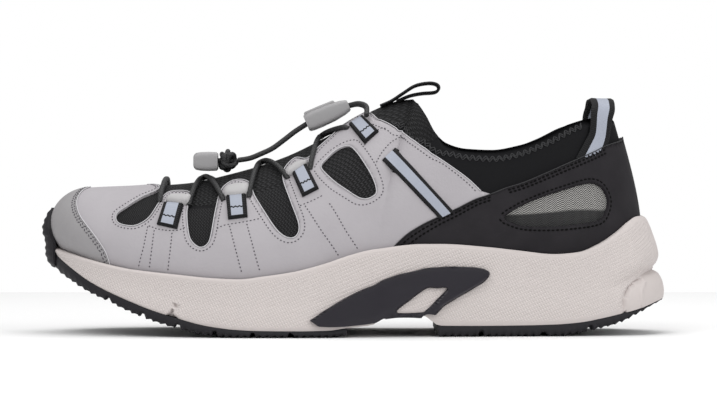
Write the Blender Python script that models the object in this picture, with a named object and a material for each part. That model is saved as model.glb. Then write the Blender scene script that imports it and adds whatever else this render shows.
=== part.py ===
"""A left walking shoe of extra depth: foam bowl sole, mesh sock, grey leather skin and elastic lace.

The toe points to -X, the heel to +X, the outer (lateral) side to -Y and the inner (medial) side to +Y.
Tables hold shares of the named sizes: a step along is LENGTH / 305, a step up is HEIGHT / 115 and a
step across is BALL_WIDTH / 110, so that each step is a millimetre on the shoe as drawn.
Outlines on the skin are drawn as the side view shows them, in the view's own dots.
"""

import math

import bmesh
import bpy
import numpy as np
from mathutils.geometry import delaunay_2d_cdt

# Driving dimensions, in metres
LENGTH = 0.305
HEIGHT = 0.115
BALL_WIDTH = 0.110
GAP = 0.0003
SOCK_WALL = 0.0018
COLLAR_PAD = 0.0034
TONGUE_WALL = 0.0036
SKIN = 0.0013
CAP_SKIN = 0.0016
COUNTER_SKIN = 0.0017
WEBBING = 0.0015
STRIPE_WEBBING = 0.0010
TAB_HEIGHT = 0.0032
CUP_PLAY = 0.00045
SHANK_WALL = 0.0016
BUMPER_WALL = 0.0032
INSOLE_THICK = 0.005
CORD = 0.0025
LOOP_WIDTH = 0.0125
TONGUE_LOOP_WIDTH = 0.014
GROOVE_DEPTH = 0.0018
LOCK_WIDTH = 0.013
LOCK_THICK = 0.0095
TAG_LENGTH = 0.0115
TAG_WIDTH = 0.010
TAG_THICK = 0.0055
KNOT_WIDTH = 0.0082

ALONG = LENGTH / 305
UP = HEIGHT / 115
ACROSS = BALL_WIDTH / 110
LATERAL = -1
MEDIAL = 1

# The side view: its dots, its middle and how far away it is taken from
DOT_ALONG = LENGTH / 620
DOT_UP = HEIGHT / 233.8
VIEW_DOT = (358.5, 205.0)
VIEW_ALONG = 3.2 * ALONG
VIEW_UP = 62.5 * UP
VIEW_FAR = 3.934 * LENGTH

# The sole's plan: share of its length, outer half width, inner half width
SOLE_FRONT = -148.5
SOLE_BACK = 152.3
PLAN = [
    (0.000, -6.0, 6.0),
    (0.020, 14.0, 26.0),
    (0.050, 27.0, 37.0),
    (0.100, 38.0, 45.5),
    (0.160, 46.0, 50.0),
    (0.220, 51.0, 52.5),
    (0.280, 54.5, 53.5),
    (0.340, 56.5, 52.0),
    (0.400, 56.5, 48.0),
    (0.460, 54.5, 43.0),
    (0.520, 51.5, 41.0),
    (0.600, 47.8, 40.6),
    (0.680, 44.8, 40.6),
    (0.760, 42.4, 40.5),
    (0.840, 40.6, 40.2),
    (0.900, 37.5, 37.5),
    (0.950, 31.5, 31.5),
    (0.985, 19.5, 19.5),
    (1.000, 0.0, 0.0),
]

# Heights along the sole: along, ground, rubber's top, footbed, foam's rim
SOLE_SIDE = [
    (-148.5, 33.0, 40.8, 39.0, 41.7),
    (-143.0, 28.9, 36.4, 37.4, 40.4),
    (-136.7, 25.6, 32.3, 35.6, 38.8),
    (-126.8, 20.4, 26.2, 31.2, 36.3),
    (-118.3, 16.9, 22.0, 28.0, 34.2),
    (-106.3, 11.6, 17.0, 24.6, 31.9),
    (-97.3, 8.2, 13.6, 22.8, 30.9),
    (-84.0, 4.3, 9.5, 21.2, 29.6),
    (-68.0, 1.0, 5.5, 20.4, 28.1),
    (-54.0, 0.0, 3.8, 20.2, 27.5),
    (-41.4, 0.0, 3.3, 20.4, 28.9),
    (-26.4, 0.0, 3.2, 21.0, 31.2),
    (-11.4, 0.0, 3.4, 22.2, 35.1),
    (-2.0, 0.8, 4.6, 23.0, 38.3),
    (10.0, 3.0, 6.0, 24.2, 41.4),
    (16.0, 3.0, 10.2, 24.9, 42.2),
    (24.0, 3.0, 10.9, 25.8, 43.3),
    (33.0, 1.6, 10.6, 26.8, 44.0),
    (42.0, 0.0, 5.4, 27.6, 44.0),
    (64.7, 0.0, 5.2, 29.2, 42.5),
    (80.0, 0.0, 5.3, 29.8, 40.8),
    (97.0, 0.0, 5.7, 30.2, 39.1),
    (108.8, 1.4, 6.6, 30.4, 40.0),
    (118.5, 3.4, 8.3, 30.6, 43.5),
    (128.5, 6.0, 10.5, 30.8, 48.9),
    (138.0, 10.4, 13.0, 31.0, 54.6),
    (146.4, 14.6, 15.9, 31.2, 57.0),
    (152.3, 16.8, 17.7, 31.4, 57.4),
]

# The foam's wall: share of its height, inset at the sides, at the heel's back and at the toe
WALL = [
    (0.00, 0.9, 0.3, 1.2),
    (0.07, 0.5, 0.0, 1.1),
    (0.18, 0.7, 0.6, 1.0),
    (0.30, 1.1, 2.9, 0.9),
    (0.37, 1.4, 4.7, 0.8),
    (0.43, 1.7, 2.9, 0.6),
    (0.52, 1.9, 1.9, 0.5),
    (0.62, 2.1, 2.6, 0.4),
    (0.78, 2.2, 4.7, 0.3),
    (0.92, 2.1, 6.9, 0.3),
    (1.00, 2.3, 8.9, 0.5),
]

# The sock's stations: foot, its inset, top along, out and up, heading, climb, low reach, high reach, lean
SOCK = [
    (-148.5, 10.5, -136.0, 0.0, 68.2, 0.0, 20.0, 17.0, 12.5, 56.0),
    (-142.5, 10.0, -131.5, 0.0, 69.4, 35.0, 10.0, 18.2, 17.0, 56.0),
    (-133.5, 10.6, -123.5, 0.0, 69.9, 58.0, 4.0, 19.5, 22.5, 56.0),
    (-118.0, 12.0, -109.0, 0.0, 70.5, 76.0, 1.0, 20.0, 26.5, 55.0),
    (-100.0, 12.6, -94.0, 0.0, 71.6, 87.0, 0.0, 20.0, 29.0, 54.0),
    (-84.0, 12.6, -81.0, 0.0, 72.6, 90.0, 0.0, 20.0, 31.0, 53.0),
    (-60.0, 12.2, -57.0, 0.0, 77.8, 90.0, 0.0, 20.0, 31.0, 50.0),
    (-38.0, 12.2, -34.0, 0.0, 85.0, 90.0, 0.0, 21.0, 28.0, 45.0),
    (-20.0, 12.4, -13.0, 0.0, 95.0, 90.0, 0.0, 23.0, 24.0, 40.0),
    (-6.0, 12.6, 8.0, 0.0, 107.2, 90.0, 0.0, 25.0, 21.0, 36.0),
    (4.0, 12.8, 23.5, 0.0, 113.2, 90.0, 0.0, 26.0, 18.0, 34.0),
    (9.0, 12.9, 30.0, 0.0, 113.9, 90.0, 0.0, 26.0, 17.0, 33.0),
    (12.0, 12.9, 30.6, 6.0, 113.6, 90.0, 12.0, 26.0, 17.0, 33.0),
    (16.0, 12.8, 32.4, 13.0, 111.6, 90.0, 30.0, 26.0, 17.0, 32.0),
    (23.0, 12.4, 36.0, 21.5, 105.6, 90.0, 50.0, 25.0, 18.0, 31.0),
    (30.0, 12.0, 40.0, 27.5, 97.6, 90.0, 64.0, 23.0, 19.0, 30.0),
    (38.0, 11.6, 45.0, 30.6, 92.4, 90.0, 72.0, 21.0, 20.0, 30.0),
    (50.0, 11.2, 54.5, 31.6, 89.5, 90.0, 77.0, 19.0, 21.0, 30.0),
    (65.0, 11.0, 67.0, 31.6, 88.9, 90.0, 79.0, 18.0, 21.0, 30.0),
    (80.0, 10.8, 80.0, 31.0, 91.1, 90.0, 80.0, 18.0, 22.0, 30.0),
    (95.0, 10.8, 92.5, 29.4, 95.6, 95.0, 80.0, 18.0, 23.0, 30.0),
    (110.0, 11.2, 104.5, 26.0, 101.4, 105.0, 79.0, 18.0, 24.0, 30.0),
    (125.0, 12.6, 115.0, 20.5, 104.4, 125.0, 77.0, 18.0, 25.0, 30.0),
    (138.0, 14.2, 123.0, 13.0, 105.4, 150.0, 75.0, 18.0, 25.0, 30.0),
    (147.5, 15.4, 127.2, 6.0, 105.4, 168.0, 74.0, 18.0, 25.0, 30.0),
    (152.3, 15.6, 128.4, 0.0, 105.3, 180.0, 74.0, 18.0, 25.0, 30.0),
]
RIDGE_END = 9.0  # the foot of the last station that ends on the ridge
RIDGE_SHIFT = [(-136.0, 5.6), (-123.0, 5.0), (-108.0, 4.0), (-81.0, 2.0), (-50.0, 0.0), (60.0, 0.0)]

# Outlines seen from the side, in dots of the side view
CAP_EDGE = [
    (88.5, 186.7),
    (80.5, 193.5),
    (77.0, 204.0),
    (80.8, 216.7),
    (95.0, 235.7),
    (106.5, 253.0),
    (111.5, 267.0),
]
VAMP_TOP = [(146.0, 178.5), (152.0, 184.0)]
SLOT_1 = [
    (159.3, 188.0),
    (142.0, 196.3),
    (126.7, 205.8),
    (116.5, 213.5),
    (117.5, 222.0),
    (128.2, 225.5),
    (138.4, 224.2),
    (149.5, 216.5),
    (158.8, 202.6),
]
STRAP_1 = [(163.5, 195.5), (172.7, 190.8), (189.8, 192.0)]
SLOT_2 = [
    (186.9, 210.2),
    (188.2, 230.6),
    (191.4, 240.8),
    (199.6, 247.2),
    (207.3, 244.0),
    (211.0, 234.4),
    (215.5, 210.0),
]
STRAP_2 = [(221.0, 190.0), (230.5, 181.3), (241.2, 179.3), (250.0, 183.0)]
SLOT_3 = [
    (254.5, 195.5),
    (267.6, 216.6),
    (278.5, 231.5),
    (289.3, 237.9),
    (297.0, 234.8),
    (298.8, 224.0),
    (291.0, 202.0),
    (283.5, 181.0),
]
STRAP_3 = [
    (284.0, 169.0),
    (294.8, 157.7),
    (307.0, 158.0),
    (319.0, 146.5),
    (333.0, 134.0),
    (347.0, 121.0),
    (361.5, 110.0),
]
QUARTER_TOP = [
    (376.0, 117.5),
    (391.0, 124.8),
    (406.3, 135.0),
    (429.3, 151.6),
    (448.4, 164.4),
    (467.6, 178.4),
    (481.0, 191.0),
]
COUNTER_EDGE = [
    (491.0, 194.0),
    (471.0, 201.3),
    (439.0, 216.6),
    (411.0, 231.3),
    (380.4, 248.2),
]
COUNTER_TOP = [(505.8, 188.0), (543.8, 174.0), (572.0, 161.5), (592.0, 152.7), (611.0, 144.0)]
COUNTER_TOP_UP = 95.4
SIDE_WINDOW = [
    (320.9, 165.7),
    (326.7, 158.0),
    (336.9, 149.1),
    (348.4, 145.5),
    (357.0, 152.5),
    (365.0, 164.0),
    (376.4, 188.6),
    (372.6, 196.3),
    (363.7, 198.8),
    (353.5, 194.4),
    (338.0, 184.0),
    (325.5, 173.0),
]
HEEL_WINDOW = [
    (504.9, 216.5),
    (524.6, 204.4),
    (547.0, 195.4),
    (569.3, 188.4),
    (589.7, 183.3),
    (601.2, 187.1),
    (607.6, 198.6),
    (606.3, 210.1),
    (598.6, 220.3),
    (569.3, 225.4),
    (531.0, 226.7),
    (513.2, 222.9),
]
TONGUE_EDGE = [
    (159.0, 196.0),
    (170.0, 201.5),
    (200.0, 206.0),
    (235.0, 203.0),
    (268.0, 192.0),
    (300.0, 180.0),
    (322.0, 156.0),
    (340.0, 138.0),
    (357.0, 125.0),
    (376.0, 120.0),
    (391.0, 124.8),
    (410.0, 135.0),
    (424.0, 141.5),
]
LACE_LOOPS = [
    [(163.4, 204.4), (156.2, 222.6), (176.4, 227.2), (182.6, 207.0)],
    [(226.2, 194.4), (227.6, 217.6), (247.2, 215.2), (247.2, 192.6)],
    [(291.6, 178.6), (302.0, 195.2), (318.4, 186.8), (306.8, 167.0)],
    [(347.7, 122.3), (364.2, 142.0), (378.3, 129.3), (362.0, 113.5)],
]
LACE_TABS = [
    [(167.4, 199.4), (172.8, 191.2), (188.2, 192.8), (181.8, 199.2)],
    [(223.4, 189.0), (231.0, 182.6), (241.2, 180.8), (248.6, 184.0), (246.8, 186.8), (225.4, 188.8)],
    [(285.6, 169.6), (295.2, 159.2), (305.8, 159.8), (304.0, 164.2), (289.0, 173.6)],
]
SIDE_STRIPE = [
    (382.4, 159.0),
    (395.2, 147.0),
    (409.4, 162.6),
    (423.6, 178.2),
    (437.8, 193.8),
    (452.0, 209.5),
    (437.8, 216.5),
    (424.0, 202.1),
    (410.1, 187.7),
    (396.3, 173.3),
]
SHANK_TOP = [
    (309.7, 320.5),
    (327.6, 308.4),
    (346.7, 297.0),
    (365.8, 288.0),
    (385.0, 279.0),
    (400.0, 274.0),
    (417.4, 270.2),
    (436.5, 267.2),
    (462.0, 266.6),
    (481.2, 268.2),
    (489.5, 273.0),
]
SHANK_BACK = [(485.0, 281.0), (472.2, 289.3), (455.7, 298.9), (442.9, 307.1), (435.3, 314.8)]
SHANK_FRONT = [(372.0, 327.0), (345.0, 327.6), (318.0, 326.6)]
SHANK_WINDOW = [
    (396.4, 313.5),
    (411.0, 299.5),
    (421.2, 291.8),
    (431.4, 287.8),
    (447.0, 288.2),
    (436.5, 299.5),
    (426.3, 309.7),
    (420.5, 315.4),
]

# The toe bumper's rows: height over the foam's rim, half width in hundredths of a turn, share of its wall
BUMPER_STEP = 0.8
BUMPER = [
    (-8.0, 6.2, 0.25),
    (-4.5, 6.6, 0.7),
    (0.7, 6.6, 0.95),
    (1.8, 6.5, 1.1),
    (6.0, 6.0, 1.2),
    (9.5, 5.5, 1.1),
    (13.0, 4.8, 0.8),
    (17.0, 3.9, 0.5),
    (19.5, 3.0, 0.3),
]

# Where the lace leaves hoods and uppermost loops, in dots, and where it crosses the ridge, in steps along
LACE_LOW = [(159.5, 196.0), (220.0, 192.0), (283.5, 177.0), (344.5, 124.5)]
LACE_HIGH = [(191.5, 196.5), (252.5, 186.5), (308.5, 162.0)]
BAR_AT = -91.0
CROSS_AT = [-72.8, -44.3, -14.5]
LACE_LIFT = 3.5
LACE_LOW_LIFT = 1.75
LACE_SIDES = 8

# The lock on the lace: its two ends along and up, and how its thickness tapers
LOCK_ENDS = ((-22.4, 102.6), (-1.6, 111.6))
LOCK_TAPER = [(0.0, 0.86), (0.12, 1.0), (0.55, 0.95), (0.85, 0.62), (1.0, 0.5)]
RISE = [(-0.6, 3.2, 111.6), (3.4, 5.6, 112.2), (7.0, 9.6, 110.6)]
RISE_DOT = (366.5, 113.5)
LACE_END = [
    (-23.6, -0.6, 101.6),
    (-28.0, -1.6, 98.6),
    (-33.6, -3.6, 94.2),
    (-39.0, -5.4, 90.2),
    (-44.4, -6.8, 87.6),
    (-49.8, -7.6, 85.4),
    (-55.6, -7.6, 84.4),
]
KNOT_TAPER = [(0.0, 0.55), (0.2, 0.9), (0.5, 1.0), (0.8, 0.9), (1.0, 0.55)]
FREE_CORD = ("lace_end", "lace_knot", "lace_tag")
KNOT_AT = (-60.8, -7.6, 84.6)
TAG_AT = (-71.8, -7.6, 84.2)
TAG_TAPER = [(0.0, 0.55), (0.15, 0.75), (0.6, 1.0), (1.0, 0.9)]

# The pull loops: along and over the ridge at the tongue, along, out and up at the heel
TONGUE_LOOP = [(14.0, 1.2), (19.5, 1.5), (25.0, 3.9)]
TONGUE_LOOP_END = [
    (31.0, 121.0),
    (37.5, 122.3),
    (41.6, 121.6),
    (42.6, 119.6),
    (40.6, 117.8),
    (34.0, 116.9),
    (28.2, 115.8),
]
HEEL_LOOP_DOTS = [(582.5, 153.0), (590.0, 143.0), (597.0, 133.0)]
HEEL_LOOP_END = [
    (120.6, 19.6, 105.6),
    (121.8, 16.4, 110.0),
    (122.2, 11.0, 113.2),
    (122.2, 5.4, 114.8),
    (122.2, 0.0, 115.2),
]

# The net that sock and skin share: columns round a side, rows up it, its size as a flat drawing
COLUMNS = 23
ROWS = [0.0, 0.12, 0.26, 0.40, 0.54, 0.67, 0.79, 0.90, 1.0]
HEM = ROWS[1]
FLAT_ALONG = 400.0
FLAT_UP = 95.0
FLAT_STEP = 14.0
FLAT_CLEAR = 5.0
SOLE_STATIONS = 24
WAIST = [10.0, 16.0, 24.0, 33.0, 42.0]  # where the sole's underside bends, in steps along

# The tread: its two pieces and the grooves across them, in steps along
TREAD_FRONT = (SOLE_FRONT + 1.2, -2.0)
TREAD_HEEL = (41.0, SOLE_BACK - 1.2)
FRONT_GROOVES = [
    (-118.0, -115.0),
    (-101.0, -98.0),
    (-84.0, -81.0),
    (-66.0, -63.0),
    (-48.0, -45.0),
    (-30.0, -27.0),
]
HEEL_GROOVES = [(60.0, 63.0), (90.0, 93.0), (112.0, 115.0)]
GROOVE_SLOPE = 0.5
TREAD_CLEAR = 2.5
TREAD_EDGE = 0.0014
TREAD_BULGE = 0.0005


def smooth(rows, column, at):
    """A column of a table at any place along its first column, without overshoot."""
    x = np.array([row[0] for row in rows], float)
    y = np.array([row[column] for row in rows], float)
    h = np.diff(x)
    d = np.diff(y) / h
    m = np.zeros(len(x))
    m[0] = d[0]
    m[-1] = d[-1]
    for i in range(1, len(x) - 1):
        if d[i - 1] * d[i] > 0:
            w1 = 2 * h[i] + h[i - 1]
            w2 = h[i] + 2 * h[i - 1]
            m[i] = (w1 + w2) / (w1 / d[i - 1] + w2 / d[i])
    at = np.clip(np.asarray(at, float), x[0], x[-1])
    i = np.clip(np.searchsorted(x, at) - 1, 0, len(h) - 1)
    s = (at - x[i]) / h[i]
    s2 = s * s
    s3 = s2 * s
    low = (2 * s3 - 3 * s2 + 1) * y[i] + (s3 - 2 * s2 + s) * h[i] * m[i]
    return low + (3 * s2 - 2 * s3) * y[i + 1] + (s3 - s2) * h[i] * m[i + 1]


def turn_of(step):
    """The station number, 0 at the toe and 1 at the heel, whose foot is at a step along."""
    share = (step - SOLE_FRONT) / (SOLE_BACK - SOLE_FRONT)
    return math.acos(1 - 2 * min(max(share, 0.0), 1.0)) / math.pi


def step_of(t):
    return SOLE_FRONT + (SOLE_BACK - SOLE_FRONT) * (1 - np.cos(np.pi * np.asarray(t, float))) / 2


PLAN_BY_TURN = [(math.acos(1 - 2 * share) / math.pi, outer, inner) for share, outer, inner in PLAN]
SOCK_BY_TURN = [(turn_of(row[0]),) + row[1:] for row in SOCK]
RIDGE_TURN = turn_of(RIDGE_END)


def unit(v):
    return v / np.maximum(np.linalg.norm(v, axis=-1, keepdims=True), 1e-12)


def plan(side, t):
    """The sole's outline at station t, seen from above."""
    width = smooth(PLAN_BY_TURN, 1 if side == LATERAL else 2, t)
    return np.stack([step_of(t) * ALONG, side * width * ACROSS], axis=-1)


def plan_out(side, t):
    """The outline's outward direction in plan."""
    t = np.asarray(t, float)
    lo = np.clip(t - 1e-4, 0, 1)
    hi = np.clip(t + 1e-4, 0, 1)
    tangent = unit(plan(side, hi) - plan(side, lo))
    return np.stack([-side * tangent[:, 1], side * tangent[:, 0]], axis=-1)


def sole_height(column, t):
    return smooth(SOLE_SIDE, column, step_of(t)) * UP


def ground(t):
    return sole_height(1, t)


def rubber_top(t):
    return sole_height(2, t)


def footbed(t):
    return sole_height(3, t)


def rim(t):
    return sole_height(4, t)


def sock(side, t, v):
    """The sock's outer face: station t round the shoe, v from the footbed (0) to ridge or collar (1)."""
    t = np.asarray(t, float)
    v = np.asarray(v, float)[:, None]
    _, inset, along, out, up, heading, climb, low, high, lean = (
        smooth(SOCK_BY_TURN, column, t) for column in range(10)
    )
    side_out = plan_out(side, t)
    foot_plan = plan(side, t) - side_out * (inset * ACROSS)[:, None]
    foot = np.column_stack([foot_plan, footbed(t)])
    lean = np.radians(lean)
    low_way = np.column_stack([side_out * np.sin(lean)[:, None], np.cos(lean)])
    shift = smooth(RIDGE_SHIFT, 1, along)
    top = np.column_stack([along * ALONG, (shift + side * out) * ACROSS, up * UP])
    heading = np.radians(heading)
    climb = np.radians(climb)
    top_way = np.column_stack(
        [np.cos(heading) * np.cos(climb), -side * np.sin(heading) * np.cos(climb), np.sin(climb)]
    )
    a = foot
    b = foot + low_way * (low * UP)[:, None]
    c = top - top_way * (high * ACROSS)[:, None]
    d = top
    w = 1 - v
    return w**3 * a + 3 * w * w * v * b + 3 * w * v * v * c + v**3 * d


def facing(surface, side, t, v):
    """The outward normal of a surface(side, t, v), by small differences."""
    e = 1e-3
    dt = surface(side, np.clip(t + e, 0, 1), v) - surface(side, np.clip(t - e, 0, 1), v)
    dv = surface(side, t, np.clip(v + e, 0, 1)) - surface(side, t, np.clip(v - e, 0, 1))
    n = np.cross(dv, dt) * side
    return unit(n)


def seen(points):
    """Where points show in the side view, in its dots."""
    near = VIEW_FAR / (VIEW_FAR + points[:, 1])
    across = VIEW_DOT[0] + (points[:, 0] - VIEW_ALONG) * near / DOT_ALONG
    down = VIEW_DOT[1] - (points[:, 2] - VIEW_UP) * near / DOT_UP
    return np.column_stack([across, down])


def raised(depth):
    """The face that lies a depth outside the sock's outer face."""

    def face(side, t, v):
        return sock(side, t, v) + facing(sock, side, t, v) * depth

    return face


def locate(surface, dots, low=(0.0, 0.12), high=(1.0, 1.0)):
    """The (t, v) on the outer side where the side view's dots lie on a surface."""
    ts, vs = np.meshgrid(np.linspace(low[0], high[0], 161), np.linspace(low[1], high[1], 61))
    ts = ts.ravel()
    vs = vs.ravel()
    shown = seen(surface(LATERAL, ts, vs))
    found = []
    for dot in dots:
        k = int(np.argmin(((shown - np.array(dot)) ** 2).sum(axis=1)))
        tv = np.array([ts[k], vs[k]])
        for _ in range(12):
            here = seen(surface(LATERAL, tv[:1], tv[1:]))[0]
            e = 1e-4
            jt = (seen(surface(LATERAL, tv[:1] + e, tv[1:]))[0] - here) / e
            jv = (seen(surface(LATERAL, tv[:1], tv[1:] + e))[0] - here) / e
            jac = np.column_stack([jt, jv])
            move = np.linalg.lstsq(jac, np.array(dot) - here, rcond=1e-3)[0]
            tv = np.clip(tv + np.clip(move, -0.03, 0.03), low, high)
        found.append((float(tv[0]), float(tv[1])))
    return found


def inside(polygon, point):
    """Whether a flat point lies inside a polygon."""
    x, y = point
    hit = False
    for (x0, y0), (x1, y1) in zip(polygon, polygon[1:] + polygon[:1]):
        if (y0 > y) != (y1 > y) and x < x0 + (y - y0) * (x1 - x0) / (y1 - y0):
            hit = not hit
    return hit


def flat(tv):
    return (tv[0] * FLAT_ALONG, tv[1] * FLAT_UP)


def steps_between(a, b, step):
    """Points from a up to b, b left out, no further apart than step."""
    n = max(1, math.ceil(math.dist(a, b) / step))
    return [(a[0] + (b[0] - a[0]) * i / n, a[1] + (b[1] - a[1]) * i / n) for i in range(n)]


def net(lines, columns, rows, step, clear):
    """A triangle net over a flat rectangle whose edges follow all the given lines."""
    wide = columns[-1]
    tall = rows[-1]
    border = [(0.0, 0.0), (wide, 0.0), (wide, tall), (0.0, tall), (0.0, 0.0)]
    points = []
    edges = []

    def add_line(line, length):
        start = len(points)
        for a, b in zip(line, line[1:]):
            points.extend(steps_between(a, b, length))
        points.append(line[-1])
        edges.extend((i, i + 1) for i in range(start, len(points) - 1))

    for line in lines:
        add_line(line, step)
    taken = np.array(points)
    for y in (rows[0], rows[-1]):
        for x in columns:
            if np.hypot(*(taken - (x, y)).T).min() > clear / 2:
                points.append((x, y))
    for x in (columns[0], columns[-1]):
        for y in rows[1:-1]:
            if np.hypot(*(taken - (x, y)).T).min() > clear / 2:
                points.append((x, y))
    add_line(border, 4 * wide)
    for i, y in enumerate(rows[1:-1]):
        for x in columns[1:-1]:
            x = x + (0.5 if i % 2 else 0.0) * (columns[1] - columns[0])
            if x < wide - clear and np.hypot(*(taken - (x, y)).T).min() > clear:
                points.append((x, y))
    verts, _, faces, _, _, _ = delaunay_2d_cdt(points, edges, [], 0, 1e-4, True)
    return [tuple(v) for v in verts], [tuple(f) for f in faces]


def skin_regions():
    """Each outline on the skin as a closed polygon of the flat drawing."""
    skin = raised(GAP + SKIN)
    webbing = raised(2 * GAP + SKIN + WEBBING)
    tabs = raised(2 * GAP + SKIN + TAB_HEIGHT)
    cap = locate(skin, CAP_EDGE)
    cap = [(cap[0][0], 1.0)] + cap[1:-1] + [(cap[-1][0], HEM)]
    vamp = locate(skin, VAMP_TOP)
    throat = [(vamp[0][0], 1.0)] + vamp[1:]
    slots = locate(skin, SLOT_1 + STRAP_1 + SLOT_2 + STRAP_2 + SLOT_3 + STRAP_3 + QUARTER_TOP)
    counter = locate(skin, COUNTER_EDGE)
    counter = counter[:-1] + [(counter[-1][0], HEM)]
    top_v = v_at_height(COUNTER_TOP_UP * UP)
    back = locate(skin, COUNTER_TOP) + [(1.0, top_v)]
    tongue = locate(sock, TONGUE_EDGE)
    tongue = [(tongue[0][0] - 0.004, 1.0)] + tongue
    tongue_end = (turn_of(33.0), 1.0)
    regions = {
        "cap": [(0.0, 1.0), (0.0, HEM)] + cap[::-1],
        "quarter": cap[::-1] + throat + slots + counter,
        "counter": counter[::-1] + back + [(1.0, HEM)],
        "tongue": tongue + [tongue_end],
        "side_window": locate(skin, SIDE_WINDOW),
        "heel_window": locate(skin, HEEL_WINDOW),
        "stripe": locate(webbing, SIDE_STRIPE),
    }
    for i, dots in enumerate(LACE_LOOPS):
        regions[f"loop_{i + 1}"] = locate(webbing, dots)
    for i, dots in enumerate(LACE_TABS):
        regions[f"tab_{i + 1}"] = locate(tabs, dots)
    return {name: [flat(tv) for tv in polygon] for name, polygon in regions.items()}


def v_at_height(z):
    """Where the heel's back line reaches a height."""
    v = np.linspace(0, 1, 400)
    heights = sock(LATERAL, np.ones(400), v)[:, 2]
    return float(np.interp(z, heights, v))


def material(name, colour, roughness, metallic=0.0):
    """A plain finish in the part's own colour."""
    m = bpy.data.materials.get(name) or bpy.data.materials.new(name)
    m.use_nodes = True
    shader = m.node_tree.nodes["Principled BSDF"]
    shader.inputs["Base Color"].default_value = (*colour, 1.0)
    shader.inputs["Roughness"].default_value = roughness
    shader.inputs["Metallic"].default_value = metallic
    return m


FINISHES = {
    "grey_leather": ((0.36, 0.35, 0.36), 0.6),
    "cap_leather": ((0.28, 0.27, 0.28), 0.6),
    "black_leather": ((0.025, 0.023, 0.025), 0.6),
    "black_mesh": ((0.012, 0.012, 0.013), 0.85),
    "foam": ((0.60, 0.53, 0.52), 0.65),
    "shank_plastic": ((0.03, 0.027, 0.035), 0.35),
    "black_rubber": ((0.03, 0.028, 0.032), 0.75),
    "grey_webbing": ((0.33, 0.36, 0.41), 0.6),
    "black_webbing": ((0.012, 0.012, 0.013), 0.7),
    "tab_rubber": ((0.42, 0.41, 0.41), 0.55),
    "lace_cord": ((0.018, 0.018, 0.02), 0.7),
    "grey_plastic": ((0.30, 0.29, 0.30), 0.5),
    "insole_cloth": ((0.06, 0.06, 0.065), 0.85),
}


def solid(name, finish, verts, faces):
    """One closed body from points and faces, in a node of its own."""
    mesh = bpy.data.meshes.new(name)
    mesh.from_pydata([tuple(map(float, v)) for v in verts], [], [tuple(map(int, f)) for f in faces])
    bm = bmesh.new()
    bm.from_mesh(mesh)
    bmesh.ops.remove_doubles(bm, verts=bm.verts, dist=2e-6)
    bmesh.ops.triangulate(bm, faces=bm.faces)
    bmesh.ops.recalc_face_normals(bm, faces=bm.faces)
    if bm.calc_volume(signed=True) < 0:
        bmesh.ops.reverse_faces(bm, faces=bm.faces)
    bm.to_mesh(mesh)
    bm.free()
    obj = bpy.data.objects.new(name, mesh)
    bpy.context.scene.collection.objects.link(obj)
    mesh.materials.append(material(finish, *FINISHES[finish]))
    mesh.shade_smooth()
    mesh.set_sharp_from_angle(angle=math.radians(40))
    return obj


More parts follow.
